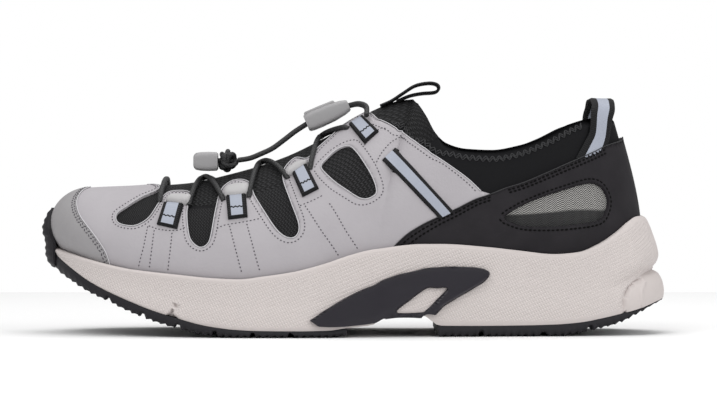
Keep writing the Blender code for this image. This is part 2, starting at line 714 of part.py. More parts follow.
class Skin:
    """The common net on both sides of the sock, which each layer takes its faces from."""

    def __init__(self):
        self.regions = skin_regions()
        columns = [FLAT_ALONG * k / COLUMNS for k in range(COLUMNS + 1)]
        rows = [FLAT_UP * v for v in ROWS]
        hem = [(0.0, HEM * FLAT_UP), (FLAT_ALONG, HEM * FLAT_UP)]
        lines = [hem] + [polygon + polygon[:1] for polygon in self.regions.values()]
        lines = [[(min(x, FLAT_ALONG), min(y, FLAT_UP)) for x, y in line] for line in lines]
        lines.append([(RIDGE_TURN * FLAT_ALONG, FLAT_UP), (RIDGE_TURN * FLAT_ALONG, FLAT_UP - 1.0)])
        self.flat_points, self.flat_faces = net(lines, columns, rows, FLAT_STEP, FLAT_CLEAR)
        t = np.array([p[0] / FLAT_ALONG for p in self.flat_points]).clip(0, 1)
        v = np.array([p[1] / FLAT_UP for p in self.flat_points]).clip(0, 1)
        self.t = t
        self.v = v
        self.points = {}
        self.normals = {}
        for side in (LATERAL, MEDIAL):
            self.points[side] = sock(side, t, v)
            self.normals[side] = facing(sock, side, t, v)
        self.shared = (t < 1e-6) | (t > 1 - 1e-6) | ((v > 1 - 1e-6) & (t < RIDGE_TURN + 1e-6))
        middle = unit(self.normals[LATERAL] + self.normals[MEDIAL])
        for side in (LATERAL, MEDIAL):
            self.normals[side][self.shared] = middle[self.shared]
        self.centres = [
            tuple(np.mean([self.flat_points[i] for i in face], axis=0)) for face in self.flat_faces
        ]

    def within(self, name):
        polygon = self.regions[name]
        return {k for k, centre in enumerate(self.centres) if inside(polygon, centre)}

    def above_hem(self):
        return {k for k, centre in enumerate(self.centres) if centre[1] > HEM * FLAT_UP}

    def shell(self, name, finish, faces, low, high, sides=(LATERAL, MEDIAL), shrink=GAP / 2):
        """A closed shell over chosen faces, between two offsets from the sock's outer face."""
        keys = {}
        low_points = []
        high_points = []
        base = []
        normal = []
        tris = []
        low = low if callable(low) else (lambda t, v, d=low: d)
        high = high if callable(high) else (lambda t, v, d=high: d)
        for side in sides:
            for k in sorted(faces):
                tri = []
                for i in self.flat_faces[k]:
                    key = (0 if self.shared[i] else side, i)
                    if key not in keys:
                        keys[key] = len(base)
                        base.append(self.points[side][i])
                        normal.append(self.normals[side][i])
                        low_points.append(low(self.t[i], self.v[i]))
                        high_points.append(high(self.t[i], self.v[i]))
                    tri.append(keys[key])
                tris.append(tuple(tri) if side == LATERAL else tuple(tri[::-1]))
        base = np.array(base)
        normal = np.array(normal)
        count = {}
        for tri in tris:
            for a, b in zip(tri, tri[1:] + tri[:1]):
                count[(a, b)] = count.get((a, b), 0) + 1
        border = [(a, b) for (a, b) in count if (b, a) not in count]
        base = base + shrink * self.inward(base, normal, border)
        n = len(base)
        outer = base + normal * np.array(high_points)[:, None]
        inner = base + normal * np.array(low_points)[:, None]
        verts = np.vstack([outer, inner])
        walls = [(a, b, b + n, a + n) for a, b in border]
        return solid(name, finish, verts, tris + [tuple(i + n for i in tri[::-1]) for tri in tris] + walls)

    @staticmethod
    def inward(base, normal, border):
        """How a border point moves so that its edges step back by one unit."""
        ways = [[] for _ in base]
        for a, b in border:
            way = unit(np.cross(base[b] - base[a], unit(normal[a] + normal[b])))
            ways[a].append(way)
            ways[b].append(way)
        move = np.zeros_like(base)
        for i, found in enumerate(ways):
            if found:
                mean = np.mean(found, axis=0)
                move[i] = -mean / max(float(mean @ mean), 0.35)
        return move


def pad(t, v):
    """How much thicker the wall is near the collar."""
    behind = float(np.clip((t - RIDGE_TURN) / 0.06, 0, 1))
    high = float(np.clip((v - 0.62) / 0.26, 0, 1))
    return COLLAR_PAD * behind * high * high * (3 - 2 * high)


def make_upper(skin):
    """Sock, tongue and the skins that are sewn on the sock."""
    everything = set(range(len(skin.flat_faces)))
    tongue = skin.within("tongue")
    skin.shell("upper", "black_mesh", everything - tongue, lambda t, v: -SOCK_WALL - pad(t, v), 0.0)
    skin.shell("tongue", "black_mesh", tongue, -TONGUE_WALL, 0.0)
    over = skin.above_hem()
    cap = skin.within("cap") & over
    counter = (skin.within("counter") & over) - skin.within("heel_window")
    quarter = (skin.within("quarter") & over) - skin.within("side_window") - cap - skin.within("counter")
    skin.shell("quarter", "grey_leather", quarter, GAP, GAP + SKIN)
    skin.shell("toe_cap", "cap_leather", cap, GAP, GAP + CAP_SKIN, shrink=GAP)
    skin.shell("heel_counter", "black_leather", counter, GAP, GAP + COUNTER_SKIN)
    above = 2 * GAP + SKIN
    sides = (("outer", LATERAL), ("inner", MEDIAL))
    for word, side in sides:
        for i in range(len(LACE_LOOPS)):
            loop = skin.within(f"loop_{i + 1}")
            skin.shell(f"lace_loop_{word}_{i + 1}", "grey_webbing", loop, above, above + WEBBING, (side,))
        for i in range(len(LACE_TABS)):
            tab = skin.within(f"tab_{i + 1}")
            skin.shell(f"lace_tab_{word}_{i + 1}", "tab_rubber", tab, above, above + TAB_HEIGHT, (side,))
        stripe = skin.within("stripe") - skin.within("counter")
        skin.shell(f"side_stripe_{word}", "grey_webbing", stripe, above, above + STRIPE_WEBBING, (side,))


def wall_point(side, t, share):
    """The foam's outer wall at a share of its height, with plan outward direction."""
    step = step_of(t)
    heel = np.clip((step - 116.0) / 34.0, 0, 1)
    heel = heel * heel * (3 - 2 * heel)
    toe = np.clip((-100.0 - step) / 44.0, 0, 1)
    toe = toe * toe * (3 - 2 * toe)
    at_side, at_heel, at_toe = (smooth(WALL, column, share) for column in (1, 2, 3))
    inset = (at_side * (1 - heel) * (1 - toe) + at_heel * heel + at_toe * toe) * ACROSS
    flat_point = plan(side, t) - plan_out(side, t) * inset[:, None]
    low = rubber_top(t)
    return np.column_stack([flat_point, low + (rim(t) - low) * share])


def cup_point(side, t, share):
    """The bowl's inner wall, from the rim (0) down to the footbed's edge (1)."""
    v = np.linspace(0, 1, 201)
    out = []
    for ti in t:
        column = np.full(201, ti)
        line = sock(side, column, v)
        normal = facing(sock, side, column, v)
        line = line + normal * (2 * GAP + COUNTER_SKIN + CUP_PLAY)
        top = np.interp(float(rim(np.array([ti]))[0]), line[:, 2], v)
        at = top * (1 - share)
        out.append([np.interp(at, v, line[:, k]) for k in range(3)])
    return np.array(out)


def ring_stations(extra=()):
    """Even stations round a side, with some more places along the sole."""
    added = [turn_of(step) for step in extra]
    even = [t for t in np.linspace(0, 1, SOLE_STATIONS + 1) if all(abs(t - a) > 0.008 for a in added)]
    return np.array(sorted(even + added))


def loft(rings, closed_caps):
    """Faces between rings of a loop round the shoe. Each ring is (outer side, inner side) stations."""
    verts = []
    index = []
    for outer, inner in rings:
        loop = np.vstack([outer, inner[-2:0:-1]])
        index.append(list(range(len(verts), len(verts) + len(loop))))
        verts.extend(loop)
    faces = []
    for a, b in zip(index, index[1:]):
        n = len(a)
        faces += [(a[i], a[(i + 1) % n], b[(i + 1) % n], b[i]) for i in range(n)]
    for ring, (outer, inner), crown in zip((index[0], index[-1]), (rings[0], rings[-1]), closed_caps):
        m = len(outer) - 1
        middle = []
        for i in range(1, m):
            middle.append(len(verts))
            centre = (outer[i] + inner[i]) / 2
            verts.append(centre + np.array([0, 0, crown]))
        outer_index = ring[: m + 1]
        inner_index = [ring[0]] + ring[m + 1 :][::-1] + [ring[m]]
        for i in range(1, m - 1):
            faces.append((outer_index[i], outer_index[i + 1], middle[i], middle[i - 1]))
            faces.append((middle[i - 1], middle[i], inner_index[i + 1], inner_index[i]))
        faces.append((outer_index[0], outer_index[1], middle[0]))
        faces.append((outer_index[0], middle[0], inner_index[1]))
        faces.append((outer_index[m], middle[-1], outer_index[m - 1]))
        faces.append((outer_index[m], inner_index[m - 1], middle[-1]))
    return verts, faces


def make_midsole():
    """The foam bowl: wall, rim, cup and footbed in one body."""
    t = ring_stations(WAIST)
    rings = []
    for share in [row[0] for row in WALL]:
        column = np.full(len(t), share)
        rings.append(tuple(wall_point(side, t, column) for side in (LATERAL, MEDIAL)))
    for share in (0.0, 0.4, 0.75):
        rings.append(tuple(cup_point(side, t, share) for side in (LATERAL, MEDIAL)))
    rings.append(tuple(footbed_edge(side, t, 0.0016, -2 * GAP) for side in (LATERAL, MEDIAL)))
    verts, faces = loft(rings, (0.0, 0.0))
    return solid("midsole", "foam", verts, faces)


def footbed_edge(side, t, out, up):
    """A point beside the sock's lower edge."""
    foot = sock(side, t, np.zeros(len(t)))
    foot[:, :2] += plan_out(side, t) * out
    foot[:, 2] += up
    return foot


def make_insole():
    """A thick footbed that lies inside the sock's wall."""
    t = ring_stations()
    rings = []
    for lift in (GAP, 0.45 * INSOLE_THICK, INSOLE_THICK):
        rings.append(tuple(inner_wall(side, t, lift, 4 * GAP) for side in (LATERAL, MEDIAL)))
    verts, faces = loft(rings, (0.0, -0.0006))
    return solid("insole", "insole_cloth", verts, faces)


def inner_wall(side, t, lift, play):
    """Points on the sock's inner face at a height over the footbed, stepped in by a play."""
    v = np.linspace(0, 0.6, 121)
    out = []
    for ti in t:
        column = np.full(121, ti)
        line = sock(side, column, v) - facing(sock, side, column, v) * (SOCK_WALL + play)
        z = float(footbed(np.array([ti]))[0]) + lift
        at = np.interp(z, line[:, 2], v)
        out.append([np.interp(at, v, line[:, k]) for k in range(3)])
        out[-1][2] = z
    return np.array(out)


def slab(name, first, last, grooves, count):
    """A rubber tread piece between two places along the sole, with grooves across its ground face."""
    edges = sorted({round(x, 3) for groove in grooves for x in groove})
    steps = [s for s in np.linspace(first, last, count) if all(abs(s - e) > TREAD_CLEAR for e in edges)]
    for edge in edges:
        steps += [edge - GROOVE_SLOPE / 2, edge + GROOVE_SLOPE / 2]
    steps = np.array(sorted(set(steps) | {first, last}))
    t = np.array([turn_of(s) for s in steps])
    cut = np.zeros(len(steps))
    for a, b in grooves:
        cut[(steps > a) & (steps < b)] = GROOVE_DEPTH
    low = ground(t) + cut
    top_z = rubber_top(t) - GAP
    side_z = np.minimum(low + TREAD_EDGE, (low + top_z) / 2)
    halves = []
    for side in (LATERAL, MEDIAL):
        edge = wall_point(side, t, np.zeros(len(t)))[:, :2]
        way = plan_out(side, t)
        top = np.column_stack([edge, top_z])
        bulge = np.column_stack([edge + way * TREAD_BULGE, (top_z + side_z) / 2])
        bottom = np.column_stack([edge, side_z])
        floor = np.column_stack([edge - way * TREAD_EDGE, low])
        halves.append([top, bulge, bottom, floor])
    rows = halves[0] + halves[1][::-1]
    return strip(name, "black_rubber", rows)


def strip(name, finish, rows):
    """A solid from rows of points along the shoe that form a closed section at each station."""
    n = len(rows[0])
    k = len(rows)
    verts = [row[i] for i in range(n) for row in rows]
    faces = []
    for i in range(n - 1):
        for j in range(k):
            a = i * k + j
            b = i * k + (j + 1) % k
            faces.append((a, b, b + k, a + k))
    faces.append(tuple(range(k))[::-1])
    faces.append(tuple((n - 1) * k + j for j in range(k)))
    return solid(name, finish, verts, faces)


def make_outsoles():
    slab("outsole_front", *TREAD_FRONT, FRONT_GROOVES, 20)
    slab("outsole_heel", *TREAD_HEEL, HEEL_GROOVES, 14)


def belt(side, t, q):
    """The waist's face round the foam: q from the rim (1) down to the edge (0.4) and the middle (0)."""
    t = np.asarray(t, float)
    q = np.asarray(q, float)
    share = np.clip((q - 0.4) / 0.6, 0, 1)
    wall = wall_point(side, t, share)
    under = np.clip(q / 0.4, 0, 1)[:, None]
    middle = np.column_stack([step_of(t) * ALONG, np.zeros(len(t)), rubber_top(t)])
    edge = wall_point(side, t, np.zeros(len(t)))
    return np.where((q >= 0.4)[:, None], wall, middle + (edge - middle) * under)


def make_shank():
    """The arch bridge: two wings with a window, joined under the waist."""
    floor = 0.4
    low = (0.4, floor + 0.02)
    high = (0.85, 1.0)
    top = locate(belt, SHANK_TOP, low, high)
    back = locate(belt, SHANK_BACK, low, high)
    front = locate(belt, SHANK_FRONT, low, high)
    window = locate(belt, SHANK_WINDOW, low, high)
    bridge_front = turn_of(WAIST[1])
    bridge_back = turn_of(WAIST[3])
    bridge = [(bridge_back, floor), (bridge_back, 0.0), (bridge_front, 0.0), (bridge_front, floor)]
    outline = bridge + front + top + back
    rows = [0.0, 0.2, floor] + [floor + 0.6 * row[0] for row in WALL[1:]]
    t0 = min(p[0] for p in outline)
    t1 = max(p[0] for p in outline)
    wide = (t1 - t0) * FLAT_ALONG

    def to_flat(tv):
        return ((tv[0] - t0) * FLAT_ALONG, tv[1] * FLAT_UP)

    outer_line = [to_flat(p) for p in outline]
    hole = [to_flat(p) for p in window]
    corner = [(0.0, floor * FLAT_UP), (wide, floor * FLAT_UP)]
    lines = [outer_line + outer_line[:1], hole + hole[:1], corner]
    columns = [wide * k / 9 for k in range(10)]
    points, faces = net(lines, columns, [FLAT_UP * r for r in rows], 9.0, 3.0)
    keep = []
    for face in faces:
        centre = tuple(np.mean([points[i] for i in face], axis=0))
        if inside(outer_line, centre) and not inside(hole, centre):
            keep.append(face)
    t = np.array([p[0] / FLAT_ALONG + t0 for p in points])
    q = np.array([p[1] / FLAT_UP for p in points])
    verts = []
    index = {}
    tris = []
    normals = []
    for side in (LATERAL, MEDIAL):
        place = belt(side, t, q)
        way = belt_normal(side, t, q)
        for face in keep:
            tri = []
            for i in face:
                key = (0 if q[i] < 1e-6 else side, i)
                if key not in index:
                    index[key] = len(verts)
                    verts.append(place[i])
                    normals.append(way[i])
                tri.append(index[key])
            tris.append(tuple(tri) if side == LATERAL else tuple(tri[::-1]))
    verts = np.array(verts)
    normals = np.array(normals)
    count = {(a, b) for tri in tris for a, b in zip(tri, tri[1:] + tri[:1])}
    border = [(a, b) for a, b in count if (b, a) not in count]
    n = len(verts)
    both = np.vstack([verts + normals * (2 * GAP + SHANK_WALL), verts + normals * 2 * GAP])
    walls = [(a, b, b + n, a + n) for a, b in border]
    backs = [tuple(i + n for i in tri[::-1]) for tri in tris]
    return solid("shank", "shank_plastic", both, tris + backs + walls)


def belt_normal(side, t, q):
    """Outward on the wall, down on the underside, and between them at the edge."""
    way = plan_out(side, t)
    wall = np.column_stack([way, np.zeros(len(t))])
    down = np.tile([0.0, 0.0, -1.0], (len(t), 1))
    edge = np.abs(q - 0.4) < 1e-6
    out = np.where((q > 0.4)[:, None], wall, down)
    out[edge] = wall[edge] + down[edge]
    return out


def bumper_face(side, t, lift):
    """The toe's front face at a height over the foam's rim: foam below it, toe cap above it."""
    edge = wall_point(side, np.array([t]), np.array([1.0]))[0]
    z = edge[2] + lift
    if lift <= BUMPER_STEP * UP:
        return np.array([edge[0], edge[1], z])
    v = np.linspace(0, 1, 201)
    column = np.full(201, t)
    cap = sock(side, column, v) + facing(sock, side, column, v) * (GAP + CAP_SKIN)
    return np.array([np.interp(z, cap[:, 2], cap[:, k]) for k in range(3)])


def make_bumper():
    """The rubber tongue that climbs the toe's front, as rows of points on its back and face."""
    across = np.linspace(-1, 1, 7)
    back = []
    face = []
    for lift, half, share in BUMPER:
        for w in across:
            side = LATERAL if w < 0 else MEDIAL
            t = abs(w) * half / 100
            place = bumper_face(side, t, lift * UP)
            way = np.append(plan_out(side, np.array([t]))[0], 0.0)
            thick = share * BUMPER_WALL * (1 - 0.5 * abs(w) ** 3)
            back.append(place + way * 3 * GAP)
            face.append(place + way * (3 * GAP + thick))
    rows = len(BUMPER)
    k = len(across)
    n = rows * k
    faces = []
    for i in range(rows - 1):
        for j in range(k - 1):
            a = i * k + j
            faces.append((a, a + 1, a + k + 1, a + k))
            faces.append((n + a, n + a + k, n + a + k + 1, n + a + 1))
    ring = list(range(k))
    ring += [i * k + k - 1 for i in range(1, rows)]
    ring += [(rows - 1) * k + j for j in range(k - 2, -1, -1)]
    ring += [i * k for i in range(rows - 2, 0, -1)]
    for a, b in zip(ring, ring[1:] + ring[:1]):
        faces.append((a, a + n, b + n, b))
    return solid("toe_bumper", "black_rubber", back + face, faces)


def tube(name, finish, points, radius, sides=LACE_SIDES):
    """A round cord along points, with flat ends."""
    points = np.array(points, float)
    ways = unit(np.gradient(points, axis=0))
    guide = np.array([0.0, 0.0, 1.0])
    verts = []
    for point, way in zip(points, ways):
        across = unit(np.cross(way, guide))
        above = np.cross(across, way)
        guide = above
        for k in range(sides):
            a = 2 * math.pi * k / sides
            verts.append(point + radius * (math.cos(a) * across + math.sin(a) * above))
    return solid(name, finish, verts, ring_faces(len(points), sides))


def ring_faces(rings, sides):
    """Faces of a swept section with closed ends."""
    faces = []
    for i in range(rings - 1):
        for k in range(sides):
            a = i * sides + k
            b = i * sides + (k + 1) % sides
            faces.append((a, b, b + sides, a + sides))
    faces.append(tuple(range(sides))[::-1])
    faces.append(tuple((rings - 1) * sides + k for k in range(sides)))
    return faces


def ribbon(name, finish, points, across, width, thick):
    """A flat strap along points, across given directions."""
    points = np.array(points, float)
    across = unit(np.array(across, float))
    ways = unit(np.gradient(points, axis=0))
    above = unit(np.cross(across, ways))
    verts = []
    for p, a, n in zip(points, across, above):
        for u, w in ((-1, -1), (1, -1), (1, 1), (-1, 1)):
            verts.append(p + a * u * width / 2 + n * w * thick / 2)
    return solid(name, finish, verts, ring_faces(len(points), 4))


def block(name, finish, ends, width, thick, taper, corner=0.3):
    """A moulded piece with chamfered corners along a line between two ends."""
    a, b = (np.array(end, float) for end in ends)
    way = unit(b - a)
    across = np.array([0.0, 1.0, 0.0])
    above = unit(np.cross(way, across))
    above = above if above[2] > 0 else -above
    verts = []
    for share, size in taper:
        centre = a + (b - a) * share
        w = width / 2 * (0.8 + 0.2 * size)
        h = thick / 2 * size
        c = corner * h
        corner_steps = [(-w, -h + c), (-w + c, -h), (w - c, -h), (w, -h + c)]
        corner_steps += [(-y, -z) for y, z in corner_steps]
        verts += [centre + across * y + above * z for y, z in corner_steps]
    return solid(name, finish, verts, ring_faces(len(taper), 8))


def over_skin(start, side, cross_t, end, far, lift, low_lift, n=4):
    """Points of a strand from a place on one side, over the ridge at cross_t, to a place on a side."""
    points = []
    halves = [(start, side, range(n)), (end, far, range(n, -1, -1))]
    for place, which, order in halves:
        for i in order:
            f = i / n
            t = np.array([place[0] + (cross_t - place[0]) * f])
            v = np.array([place[1] + (1 - place[1]) * f])
            rise = lift + (low_lift - lift) * f**5
            normal = facing(sock, which, t, v)[0]
            if f == 1:
                normal = unit(normal * np.array([1.0, 0.0, 1.0]))
            points.append(sock(which, t, v)[0] + normal * rise)
    return points


def ridge_turn(step):
    """The station whose top is on the ridge at a step along."""
    t = np.linspace(0, RIDGE_TURN, 300)
    return float(np.interp(step * ALONG, sock(LATERAL, t, np.ones(300))[:, 0], t))


def ridge_up(step):
    t = np.linspace(0, RIDGE_TURN, 300)
    ridge = sock(LATERAL, t, np.ones(300))
    return float(np.interp(step * ALONG, ridge[:, 0], ridge[:, 2]))


def place(step):
    return (step[0] * ALONG, step[1] * ACROSS, step[2] * UP)


def make_lace():
    """The elastic cord where the object holds it: a bar and three crossings, joined where they meet."""
    face = raised(LACE_LIFT * UP)
    low = locate(face, LACE_LOW)
    high = locate(face, LACE_HIGH)
    radius = CORD / 2
    lifts = (LACE_LIFT * UP, LACE_LOW_LIFT * UP)
    bar = over_skin(low[0], LATERAL, ridge_turn(BAR_AT), low[0], MEDIAL, *lifts)
    tube("lace_bar", "lace_cord", bar, radius)
    for i, step in enumerate(CROSS_AT):
        middle = ridge_turn(step)
        one = over_skin(high[i], LATERAL, middle, low[i + 1], MEDIAL, *lifts)
        two = over_skin(low[i + 1], LATERAL, middle, high[i], MEDIAL, *lifts)
        one = tube(f"lace_cross_{i + 1}", "lace_cord", one, radius)
        two = tube(f"lace_other_{i + 1}", "lace_cord", two, radius)
        join(one, two)
    ends = [place((LOCK_ENDS[k][0], 0.0, LOCK_ENDS[k][1])) for k in (0, 1)]
    block("cord_lock", "grey_plastic", ends, LOCK_WIDTH, LOCK_THICK, LOCK_TAPER)
    over_loops = raised(4 * GAP + SKIN + WEBBING + radius)
    top = locate(over_loops, [RISE_DOT])[0]
    for word, side in (("outer", LATERAL), ("inner", MEDIAL)):
        seat = over_loops(side, np.array([top[0]]), np.array([top[1]]))[0]
        line = [place((x, side * y, z)) for x, y, z in RISE] + [seat]
        tube(f"lace_rise_{word}", "lace_cord", rounded(line, 2), radius)
        offset = side * (CORD / 2 + GAP)
        free = [np.array(place(p)) + np.array([0, offset, 0]) for p in LACE_END]
        cord_curve(f"lace_end_{word}", "lace_cord", rounded(free, 2), radius)
    knot = np.array(place(KNOT_AT))
    half = np.array([KNOT_WIDTH / 2, 0, 0])
    block("lace_knot", "lace_cord", (knot - half, knot + half), KNOT_WIDTH, KNOT_WIDTH * 0.85, KNOT_TAPER, 0.6)
    tag = np.array(place(TAG_AT))
    half = np.array([TAG_LENGTH / 2, 0, 0])
    block("lace_tag", "grey_plastic", (tag - half, tag + half), TAG_WIDTH, TAG_THICK, TAG_TAPER)


def rounded(points, n):
    """A smooth line through points, with n steps between each two."""
    points = [np.array(p, float) for p in points]
    padded = [2 * points[0] - points[1]] + points + [2 * points[-1] - points[-2]]
    out = []
    for i in range(1, len(padded) - 2):
        p0, p1, p2, p3 = padded[i - 1 : i + 3]
        for k in range(n):
            s = k / n
            bend = (2 * p0 - 5 * p1 + 4 * p2 - p3) * s * s + (3 * p1 - p0 - 3 * p2 + p3) * s**3
            out.append((2 * p1 + (p2 - p0) * s + bend) / 2)
    return out + [points[-1]]


def cord_curve(name, finish, points, radius):
    """A free cord as a curve with filled caps."""
    curve = bpy.data.curves.new(name, "CURVE")
    curve.dimensions = "3D"
    curve.bevel_depth = radius
    curve.bevel_resolution = 2
    curve.use_fill_caps = True
    spline = curve.splines.new("POLY")
    spline.points.add(len(points) - 1)
    for point, here in zip(spline.points, points):
        point.co = (*map(float, here), 1.0)
    obj = bpy.data.objects.new(name, curve)
    bpy.context.scene.collection.objects.link(obj)
    curve.materials.append(material(finish, *FINISHES[finish]))
    return obj


def join(one, two):
    """Join two touching solids into the first."""
    union = one.modifiers.new("join", "BOOLEAN")
    union.operation = "UNION"
    union.object = two
    two.hide_render = True
    two.display_type = "WIRE"


def make_pull_loops():
    """The folded webbing at the tongue's top and the arch over the heel."""
    line = [(x * ALONG, 0.0, ridge_up(x) + over * UP) for x, over in TONGUE_LOOP]
    line += [place((x, 0.0, z)) for x, z in TONGUE_LOOP_END]
    line = rounded(line, 2)
    ribbon("tongue_loop", "black_webbing", line, [(0, -1, 0)] * len(line), TONGUE_LOOP_WIDTH, WEBBING)
    face = raised(3 * GAP + COUNTER_SKIN + WEBBING / 2)
    seats = locate(face, HEEL_LOOP_DOTS)
    line = []
    across = []
    for side in (LATERAL, MEDIAL):
        half = []
        half_across = []
        for t, v in seats:
            t = np.array([t])
            v = np.array([v])
            half.append(face(side, t, v)[0])
            normal = facing(sock, side, t, v)[0]
            half_across.append(normal)
        for step in HEEL_LOOP_END:
            half.append(np.array(place((step[0], side * step[1], step[2]))))
        ways = unit(np.gradient(np.array(half), axis=0))
        for k in range(len(half)):
            if k < len(seats):
                half_across[k] = unit(np.cross(half_across[k], ways[k])) * side
            else:
                share = (k - len(seats) + 1) / len(HEEL_LOOP_END)
                last = half_across[len(seats) - 1]
                half_across.append(unit((1 - share) * last + share * np.array([1.0, 0.0, 0.0])))
        if side == LATERAL:
            line = half
            across = half_across
        else:
            line = line + half[-2::-1]
            across = across + half_across[-2::-1]
    ribbon("heel_loop", "grey_webbing", line, across, LOOP_WIDTH, WEBBING)


def stand_on_origin():
    """Move everything so that the origin is the middle of the shoe's box, on the ground."""
    bpy.context.view_layer.update()
    depsgraph = bpy.context.evaluated_depsgraph_get()
    shown = [obj for obj in bpy.data.objects if not obj.hide_render]
    corners = []
    for obj in shown:
        if obj.name.startswith(FREE_CORD):
            continue
        mesh = obj.evaluated_get(depsgraph).to_mesh()
        points = np.array([tuple(v.co) for v in mesh.vertices])
        corners += [points.min(axis=0), points.max(axis=0)]
    corners = np.array(corners)
    middle = (corners.min(axis=0) + corners.max(axis=0)) / 2
    for obj in bpy.data.objects:
        obj.location = (-middle[0], -middle[1], 0.0)


def main():
    for obj in list(bpy.data.objects):
        bpy.data.objects.remove(obj, do_unlink=True)
    skin = Skin()
    make_upper(skin)
    make_midsole()
    make_insole()
    make_outsoles()
    make_shank()
    make_bumper()
    make_lace()
    make_pull_loops()
    stand_on_origin()


main()
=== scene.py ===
"""Looks of a left walking shoe of extra depth: foam bowl sole, mesh sock, grey leather skin, elastic lace.

Every piece is drawn in the part's own steps: the toe points to -X, the heel to +X, the outer side to -Y.
Outlines on the skin are given as the side view shows them, in its dots, and found on the sock's surface.
"""

import math

import bpy
import numpy as np
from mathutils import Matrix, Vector
from mathutils.geometry import delaunay_2d_cdt


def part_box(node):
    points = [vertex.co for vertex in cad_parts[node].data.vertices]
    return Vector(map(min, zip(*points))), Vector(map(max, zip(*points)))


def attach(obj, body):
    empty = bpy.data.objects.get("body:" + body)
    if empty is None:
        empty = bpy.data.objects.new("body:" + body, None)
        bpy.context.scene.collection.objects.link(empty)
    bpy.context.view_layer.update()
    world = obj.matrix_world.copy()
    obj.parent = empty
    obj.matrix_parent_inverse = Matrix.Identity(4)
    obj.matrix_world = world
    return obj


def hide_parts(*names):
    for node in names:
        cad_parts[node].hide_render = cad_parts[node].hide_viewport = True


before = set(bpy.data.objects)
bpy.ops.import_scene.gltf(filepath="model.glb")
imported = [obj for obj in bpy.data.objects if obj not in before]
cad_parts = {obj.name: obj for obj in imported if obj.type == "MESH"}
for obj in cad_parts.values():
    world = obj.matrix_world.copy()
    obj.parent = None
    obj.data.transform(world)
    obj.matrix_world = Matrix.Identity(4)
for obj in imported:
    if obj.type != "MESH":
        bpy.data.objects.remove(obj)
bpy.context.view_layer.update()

# Driving dimensions, in metres
MM = 0.001
LATERAL = -1
MEDIAL = 1
BOTH = (LATERAL, MEDIAL)
GAP = 0.0003
SOCK_WALL = 0.0018
COLLAR_WALL = 0.0052
TONGUE_WALL = 0.0036
SKIN = 0.0013
CAP_SKIN = 0.0017
COUNTER_SKIN = 0.0017
WEBBING = 0.0015
STRIPE_WEBBING = 0.0010
TAB_HEIGHT = 0.0030
SHANK_WALL = 0.0016
BUMPER_WALL = 0.0032
CORD = 0.0025
EDGE_ROLL = 0.9
EDGE_BEAD = 0.00024
SKY_LIGHT = 0.5
SKY_SEEN = 1.0
WINDOW_UNDERLAP = 1.2
WINDOW_LIFT = 0.00045
SLOT_LIFT = 0.0002
SLOT_SPREAD = 1.18
NO_EDGE = 99.0
INSIDE_SHARE = 0.6
RIM_ROLL = 1.1 * MM

# The side view: its dots, its middle and its distance
DOT = 0.305 / 620
VIEW_DOT = (358.5, 205.0)
VIEW_ALONG = 0.0032
VIEW_UP = 0.0625
VIEW_FAR = 1.2
PICTURE_WIDTH = 717
SENSOR = 36.0
FLOOR_SIZE = 1.5

# Where the drawing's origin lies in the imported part
SOLE_FRONT = -148.5
SOLE_BACK = 152.3
TAG_OUT = -0.0076
tag_low, tag_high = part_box("lace_tag")
SHIFT = np.array([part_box("midsole")[1].x - SOLE_BACK * MM, (tag_low.y + tag_high.y) / 2 - TAG_OUT, 0.0])

# The sole's plan: share of its length, outer half width, inner half width
PLAN = [
    (0.000, -6.0, 6.0), (0.020, 14.0, 26.0), (0.050, 27.0, 37.0), (0.100, 38.0, 45.5),
    (0.160, 46.0, 50.0), (0.220, 51.0, 52.5), (0.280, 54.5, 53.5), (0.340, 56.5, 52.0),
    (0.400, 56.5, 48.0), (0.460, 54.5, 43.0), (0.520, 51.5, 41.0), (0.600, 47.8, 40.6),
    (0.680, 44.8, 40.6), (0.760, 42.4, 40.5), (0.840, 40.6, 40.2), (0.900, 37.5, 37.5),
    (0.950, 31.5, 31.5), (0.985, 19.5, 19.5), (1.000, 0.0, 0.0),
]

# Heights along the sole: along, ground, rubber's top, footbed, foam's rim
SOLE_SIDE = [
    (-148.5, 33.0, 40.8, 39.0, 41.7),
    (-143.0, 28.9, 36.4, 37.4, 40.4),
    (-136.7, 25.6, 32.3, 35.6, 38.8),
    (-126.8, 20.4, 26.2, 31.2, 36.3),
    (-118.3, 16.9, 22.0, 28.0, 34.2),
    (-106.3, 11.6, 17.0, 24.6, 31.9),
    (-97.3, 8.2, 13.6, 22.8, 30.9),
    (-84.0, 4.3, 9.5, 21.2, 29.6),
    (-68.0, 1.0, 5.5, 20.4, 28.1),
    (-54.0, 0.0, 3.8, 20.2, 27.5),
    (-41.4, 0.0, 3.3, 20.4, 28.9),
    (-26.4, 0.0, 3.2, 21.0, 31.2),
    (-11.4, 0.0, 3.4, 22.2, 35.1),
    (-2.0, 0.8, 4.6, 23.0, 38.3),
    (10.0, 3.0, 6.0, 24.2, 41.4),
    (16.0, 3.0, 10.2, 24.9, 42.2),
    (24.0, 3.0, 10.9, 25.8, 43.3),
    (33.0, 1.6, 10.6, 26.8, 44.0),
    (42.0, 0.0, 5.4, 27.6, 44.0),
    (64.7, 0.0, 5.2, 29.2, 42.5),
    (80.0, 0.0, 5.3, 29.8, 40.8),
    (97.0, 0.0, 5.7, 30.2, 39.1),
    (108.8, 1.4, 6.6, 30.4, 40.0),
    (118.5, 3.4, 8.3, 30.6, 43.5),
    (128.5, 6.0, 10.5, 30.8, 48.9),
    (138.0, 10.4, 13.0, 31.0, 54.6),
    (146.4, 14.6, 15.9, 31.2, 57.0),
    (152.3, 16.8, 17.7, 31.4, 57.4),
]

